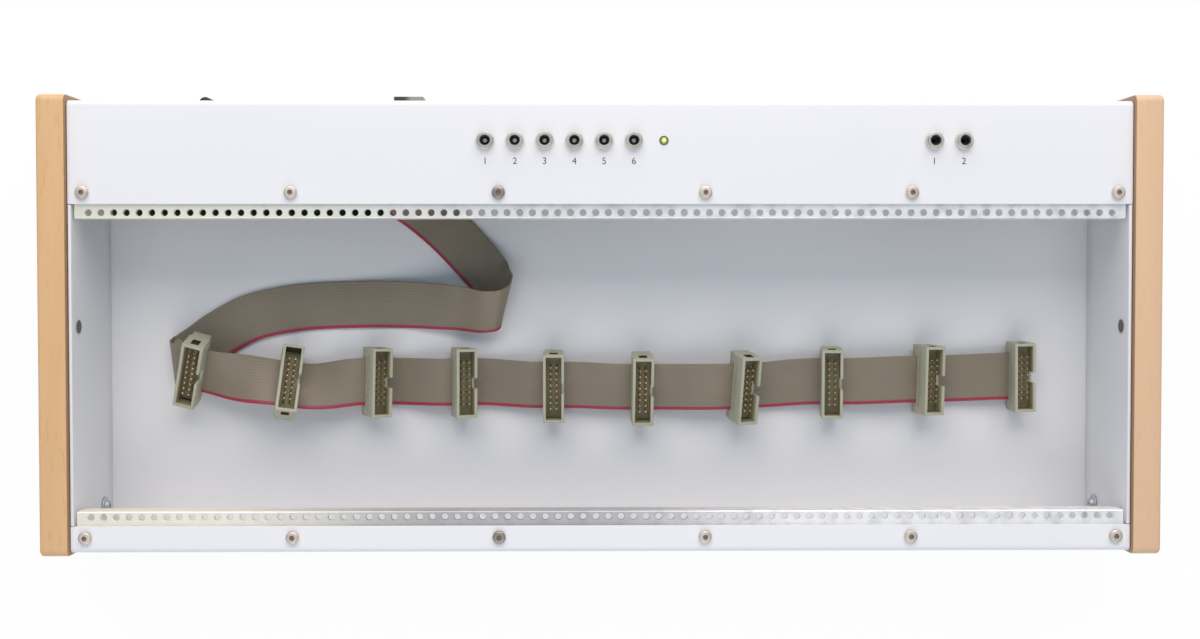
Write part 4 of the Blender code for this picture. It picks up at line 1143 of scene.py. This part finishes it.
def make_boards(green, black, nickel, contact, solder):
    """The two boards with their jacks, soldered joints and the header that hangs under them."""
    board_top = panel_under_z - 2 * hole_gap - jack_body[2]
    board_under = board_top - board_thickness
    joints = []
    for node, number in jack_names():
        x = middle(node).x
        make_jack(node, x, board_top, black, nickel, contact)
        make_number(f"{node}_number", str(number), x, jack_y - number_drop, printed)
        for dx, dy in jack_legs:
            joints.append(turned(solder_joint, 12, at(x + dx, jack_y + dy, board_under)))
    piece("solder_joints", together(joints), solder)
    for node in ("main_board", "out_board"):
        low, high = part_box(node)
        plate = block((low.x, low.y, board_under), (high.x, high.y, board_top))
        if low.y < board_front_y - hole_gap:
            step_low = (power_board_right, low.y - hole_gap, board_under - hole_gap)
            step = block(step_low, (high.x + hole_gap, board_front_y, board_top + hole_gap))
            plate = carved(plate, step)
        ease(plate, board_corner_radius, 4, 35, along(2))
        piece(f"{node}_plate", plate, green, [node])
    low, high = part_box("board_header")
    wall = Vector((header_wall, header_wall, 0))
    hollow_low = low + wall - Vector((0, 0, header_wall))
    hollow = block(hollow_low, (*(high - wall).xy, low.z + header_cavity_depth))
    header = ease(carved(block(low, high), hollow), header_edge, 2, 60)
    piece("hanging_header", header, black, ["board_header"])


def make_nuts(nickel):
    """Round nuts with a chamfered rim and fine knurling."""
    seat = panel_top_z + hole_gap
    crown = seat + nut_height
    bore = jack_radius + nut_play
    profile = [(bore, seat), (nut_radius - 0.0002, seat), (nut_radius, seat + 0.0002)]
    profile += [(nut_radius, crown - 0.0006), (nut_radius - 0.0005, crown)]
    profile += [(bore + 0.0001, crown), (bore, crown - 0.0001), (bore, seat)]
    for node, _ in jack_names():
        bm = turned(profile, nut_knurls * 2)
        for vert in bm.verts:
            reach = vert.co.xy.length
            step = round(math.atan2(vert.co.y, vert.co.x) * nut_knurls / math.pi)
            if reach > nut_radius - 0.00001 and step % 2:
                vert.co.xy *= 1 - nut_knurl_depth / reach
        piece(f"{node}_nut", moved(bm, over(node)), nickel, sharp=25)


def make_lamp(lens):
    low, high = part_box("status_led")
    radius = (high.y - low.y) / 2
    shoulder = high.z - radius
    profile = [(0, low.z), (radius, low.z), (radius, shoulder)]
    for i in range(1, 9):
        angle = math.radians(90 * i / 8)
        profile.append((radius * math.cos(angle), shoulder + radius * math.sin(angle)))
    bm = turned(profile, 32, over("status_led"))
    piece("lamp", bm, lens, ["status_led"], sharp=60)


def rocker_outline():
    """The rocker from above: a keel, two round noses and the hollow between them."""
    half = rocker_half_length

    def crest(u):
        return rocker_hollow + rocker_crest_rise * (abs(u) / half) ** 1.3

    inner = half - rocker_nose
    drop = crest(inner) - rocker_nose
    nose = [
        (inner + rocker_nose * math.cos(angle), drop + rocker_nose * math.sin(angle))
        for angle in map(math.radians, range(0, 90, 18))
    ]
    steps = 6
    hollow = [(inner * (1 - i / steps), crest(inner * (1 - i / steps))) for i in range(steps)]
    right = [(0.0029, -0.0036), (half, -0.0010)] + nose + hollow
    return right + [(0, crest(0))] + [(-u, v) for u, v in reversed(right)]


def make_switch(black, mark):
    low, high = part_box("switch_frame")
    centre = (low + high) / 2
    pivot = Vector(frame["joints"][0]["pos_m"])
    bezel = block((low.x, rear_y + hole_gap, low.z), high)
    ease(bezel, switch_corner_radius, 4, 35, along(1))
    ease(bezel, switch_corner_radius / 2, 3, 35, level(1, high.y))
    body_rear = rear_y + 0.001
    width, height = switch_body
    size = (width, body_rear - low.y, height)
    body = centred_block(size, (centre.x, (body_rear + low.y) / 2, centre.z))
    well = centred_block(rocker_well, (centre.x, pivot.y + rocker_well_shift, pivot.z))
    frame_shape = carved(carved(bezel, body, "UNION"), ease(well, 0.0004, 2, 35, along(1)))
    piece("switch_bezel", frame_shape, black, ["switch_frame"])

    lean = at(*pivot) @ rotation(rocker_tilt_degrees, "Z")
    base = lean @ at(0, 0, -rocker_half_height)
    rocker = ease(drawn(rocker_outline(), 2 * rocker_half_height, base), small_edge, 2, 40)
    piece("rocker", rocker, black, ["power_rocker"], "rocker")
    bar = centred_block((0.0004, mark_rise, 0.0026), (0, mark_rise / 2, 0))
    ring = carved(rod(0.0010, 0, mark_rise), rod(0.0007, -0.001, 0.001))
    ring = moved(ring, rotation(-90, "X"))
    for name, bm, sign in (("rocker_bar", bar, -1), ("rocker_ring", ring, 1)):
        turn = at(sign * mark_reach, mark_height) @ rotation(sign * mark_lean_degrees, "Z")
        piece(name, moved(bm, lean @ turn), mark, body="rocker")


def make_usb_socket(shell_metal, white_plastic):
    low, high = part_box("usb_socket")
    high.y -= usb_inset
    centre = (low + high) / 2
    shell = ease(block(low, high), usb_wall, 3, 35, along(1))
    far = level(1, high.y)
    ease(shell, usb_far_radius, 5, 35, lambda edge: along(2)(edge) and far(edge))
    half_width = (high.x - low.x) / 2 - usb_wall
    half_height = (high.z - low.z) / 2 - usb_wall
    chamfer = half_width / 3
    right = [(half_width, -half_height), (half_width, half_height - chamfer)]
    right.append((half_width - chamfer, half_height))
    upright = at(centre.x, high.y + 0.001, centre.z) @ rotation(90, "X")
    shell = carved(shell, drawn(mirrored(right), usb_mouth_depth, upright))
    piece("usb_shell", shell, shell_metal, ["usb_socket"])
    tongue_y = high.y - usb_tongue_drop - usb_tongue[1] / 2
    tongue = centred_block(usb_tongue, (centre.x, tongue_y, centre.z))
    piece("usb_tongue", ease(tongue, small_edge, 2), white_plastic)


def make_din_socket(wall, black):
    node = "din_socket"
    low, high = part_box(node)
    rise = high.y - wall
    profile = [(0, -0.0002), (0.0075, -0.0002), (0.0075, rise - 0.0003), (0.0072, rise)]
    profile += [(0.0066, rise), (0.0064, rise - 0.0008), (0, rise - 0.0008)]
    face = turned(profile, 48, facing_rear(node, wall))
    body = carved(ease(block(low, (high.x, wall, high.z)), 0.0005, 2), face, "UNION")
    front = facing_rear(node, high.y)
    holes = [moved(centred_block(din_key, (0, -din_key_reach, 0)), front)]
    for i in range(5):
        angle = math.radians(45 * i)
        spot = at(din_circle * math.cos(angle), din_circle * math.sin(angle))
        holes.append(rod(din_pin_radius, -din_pin_depth, 0.001, 16, front @ spot))
    piece("din_body", carved(body, together(holes)), black, [node])


def make_rear_sockets(black, nickel):
    """The DIN socket, the two line-out jacks and the DC inlet."""
    wall = rear_y - sheet_thickness - hole_gap
    make_din_socket(wall, black)
    seat = wall - rear_y
    nut = ((0.0034, seat), (0.0050, seat), *line_nut_outline, (0.0034, seat))
    for number in (1, 2):
        node = f"line_out_jack_{number}"
        low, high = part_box(node)
        body = ease(block(low, (high.x, wall, high.z)), 0.0006, 2)
        bore = rod(line_bore_radius, -line_bore_depth, 0.001, 32, facing_rear(node, high.y))
        piece(f"line_jack_{number}_body", carved(body, bore), black, [node])
        bushing = turned(nut, 48, facing_rear(node))
        piece(f"line_jack_{number}_nut", bushing, nickel, sharp=30)

    low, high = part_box("dc_inlet")
    rise = high.y - rear_y
    inside = low.y - rear_y
    profile = [(0, inside), (0.0054, inside), (0.0054, 0.0003), (0.0066, 0.0003)]
    profile += [(0.0070, 0.0006), (0.0070, rise - 0.0005), (0.0064, rise), (0.0031, rise)]
    profile += [(0.0028, rise - 0.0004), (0.0028, rise - 0.0095), (0, rise - 0.0095)]
    piece("dc_body", turned(profile, 48, facing_rear("dc_inlet")), black, ["dc_inlet"])
    pin = rod(0.00105, rise - 0.0097, rise - 0.0010, 20, facing_rear("dc_inlet"))
    piece("dc_pin", ease(pin, small_edge, 3), nickel)


def make_end_plates(white):
    """End walls inside the folded sheet, with tabs bent in to carry the rails' ends."""
    sheet = sheet_thickness + hole_gap
    front, rear = shell_low.y + sheet, rear_y - sheet
    opening_front = shell_low.y + lip_depth + hole_gap
    opening_rear = rear_y - panel_depth - hole_gap
    shoulder = panel_top_z - sheet
    base = shell_low.z + sheet
    outline = [(front, base), (rear, base), (rear, shoulder), (opening_rear, shoulder)]
    outline += [(opening_rear, panel_top_z), (opening_front, panel_top_z)]
    outline += [(opening_front, shoulder), (front, shoulder)]
    half = tab_width / 2
    tab_top = upper_high.z - plate_thickness - hole_gap
    tab_under = tab_top - sheet_thickness
    drill_span = (tab_top - tab_width, tab_top + tab_width)
    deep = 2 * sheet_thickness
    for side, sign in sides:
        low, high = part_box(f"end_plate_{side}")
        outer, tip = (high.x, low.x) if sign > 0 else (low.x, high.x)
        wall = sorted((outer, outer - sign * sheet_thickness))
        span = sorted((tip, outer - sign * sheet_edge))
        bm = ease(profiled(outline, *wall), sheet_edge, 2)
        last = 1 if sign < 0 else panel_screw_count
        cuts = []
        for row in ("upper", "lower"):
            spot = middle(f"rail_screw_{row}_{last}").xy
            tab_low = (span[0], spot.y - half, tab_under)
            tab = block(tab_low, (span[1], spot.y + half, tab_top))
            bm = carved(bm, ease(tab, sheet_edge, 2), "UNION")
            cuts += drills([spot], screw_hole_radius, *drill_span, 20)
            window_low = (wall[0] - sheet_edge, spot.y - half, tab_under - tab_window_height)
            cuts.append(block(window_low, (wall[1] + sheet_edge, spot.y + half, tab_under)))
        for place in cheek_screw_places:
            spot = middle(f"cheek_screw_{side}_{place}")
            turn = at(outer, spot.y, spot.z) @ rotation(90, "Y")
            cuts.append(rod(wood_screw_radius + hole_gap, -deep, deep, 20, turn))
        bm = carved(bm, together(cuts))
        piece(f"end_wall_{side}", bm, white, [f"end_plate_{side}"], sharp=30)


def make_stage():
    """A plain white surface under the feet and soft light from above the rear."""
    bm = bmesh.new()
    bmesh.ops.create_grid(bm, x_segments=1, y_segments=1, size=12)
    ground = Finish("studio paper", "white_powder_coat", (0.86, 0.86, 0.86), 0.9)
    rays = ground.tree.nodes.new("ShaderNodeLightPath")
    seen = Socket(ground, rays.outputs["Is Camera Ray"])
    glossy = Socket(ground, rays.outputs["Is Glossy Ray"])
    share = seen.maths("MAXIMUM", seen, glossy) * 0.9
    light = ground.node("Emission", {"Color": (1, 1, 1, 1), "Strength": 1.02})
    paper = Socket(ground, ground.shader.outputs[0])
    mixed = ground.node("MixShader", {0: share, 1: paper, 2: light})
    ground.feed(ground.tree.nodes["Material Output"].inputs["Surface"], mixed)
    mesh = as_mesh(bm, "ground")
    mesh.materials.append(ground.material)
    linked("ground", mesh)

    world = bpy.data.worlds.new("studio")
    world.use_nodes = True
    background = world.node_tree.nodes["Background"]
    background.inputs["Color"].default_value = (0.64, 0.825, 1.0, 1)
    background.inputs["Strength"].default_value = 0.44
    bpy.context.scene.world = world

    for name, place, size, power, colour in lamps:
        lamp = bpy.data.lights.new(name, "AREA")
        lamp.size = size
        lamp.energy = power
        lamp.color = colour
        thing = linked(name, lamp)
        thing.location = place
        thing.rotation_euler = (-Vector(place)).to_track_quat("-Z", "Y").to_euler()


set_camera()
bpy.context.scene.view_settings.view_transform = "Standard"

white = powder_coat()
wood = beech_wood()
upper_zinc = zinc_plate("zinc rail", 0.10)
lower_zinc = zinc_plate("dull zinc rail", 0.60)
screw_metal = bright_metal("nickel screw", "nickel_screw", (0.74, 0.66, 0.585), 0.56)
# A darker finish for the third screw of each row.
darker_screw_metal = bright_metal("darker screw", "nickel_screw", (0.40, 0.34, 0.30), 0.42)
recess_shade = moulded("shaded socket", "nickel_screw", (0.19, 0.13, 0.09), 0.6)
wood_screw_metal = bright_metal("zinc screw", "nickel_screw", (0.60, 0.63, 0.68), 0.52)
black_metal = bright_metal("black screw", "dark_screw", (0.24, 0.225, 0.225), 0.5)
nut_metal = bright_metal("nickel nut", "nickel_nut", (0.86, 0.81, 0.72), 0.34)
dull_tin = stained_tin(middle("usb_socket").x)
shield_metal = bright_metal("tin shield", "connector_shield", (0.68, 0.69, 0.70), 0.32)
pin_metal = bright_metal("pin plating", "header_housing", (0.68, 0.56, 0.42), 0.50)
contact_metal = bright_metal("contact", "nickel_nut", (0.46, 0.46, 0.44), 0.6)
black = moulded("black moulding", "black_plastic", (0.020, 0.020, 0.021), 0.45)
housing = header_plastic()
pale = moulded("pale moulding", "connector_shield", (0.70, 0.70, 0.68), 0.45, 0.05)
printed = printed_ink()
vinyl = ribbon_vinyl()

headers = make_headers(housing, pin_metal)
socket = make_ribbon_socket(housing)
ribbon, ribbon_path = make_ribbon(vinyl)
tuple(ribbon_start())
[tuple(point) for point in ribbon_path]

make_shell(white)
make_end_plates(white)
make_cheeks(wood)
make_rail("upper", upper_low, upper_high, -1, upper_zinc)
make_rail("lower", lower_low, lower_high, 1, lower_zinc)
make_panel_screws(screw_metal, darker_screw_metal, recess_shade)
make_cheek_screws(wood_screw_metal, black_metal)
make_feet(rubber())
make_boards(circuit_board(), black, nut_metal, contact_metal, shield_metal)
make_nuts(nut_metal)
make_lamp(lamp_lens())
make_switch(black, pale)
make_usb_socket(dull_tin, pale)
make_rear_sockets(black, nut_metal)
make_stage()
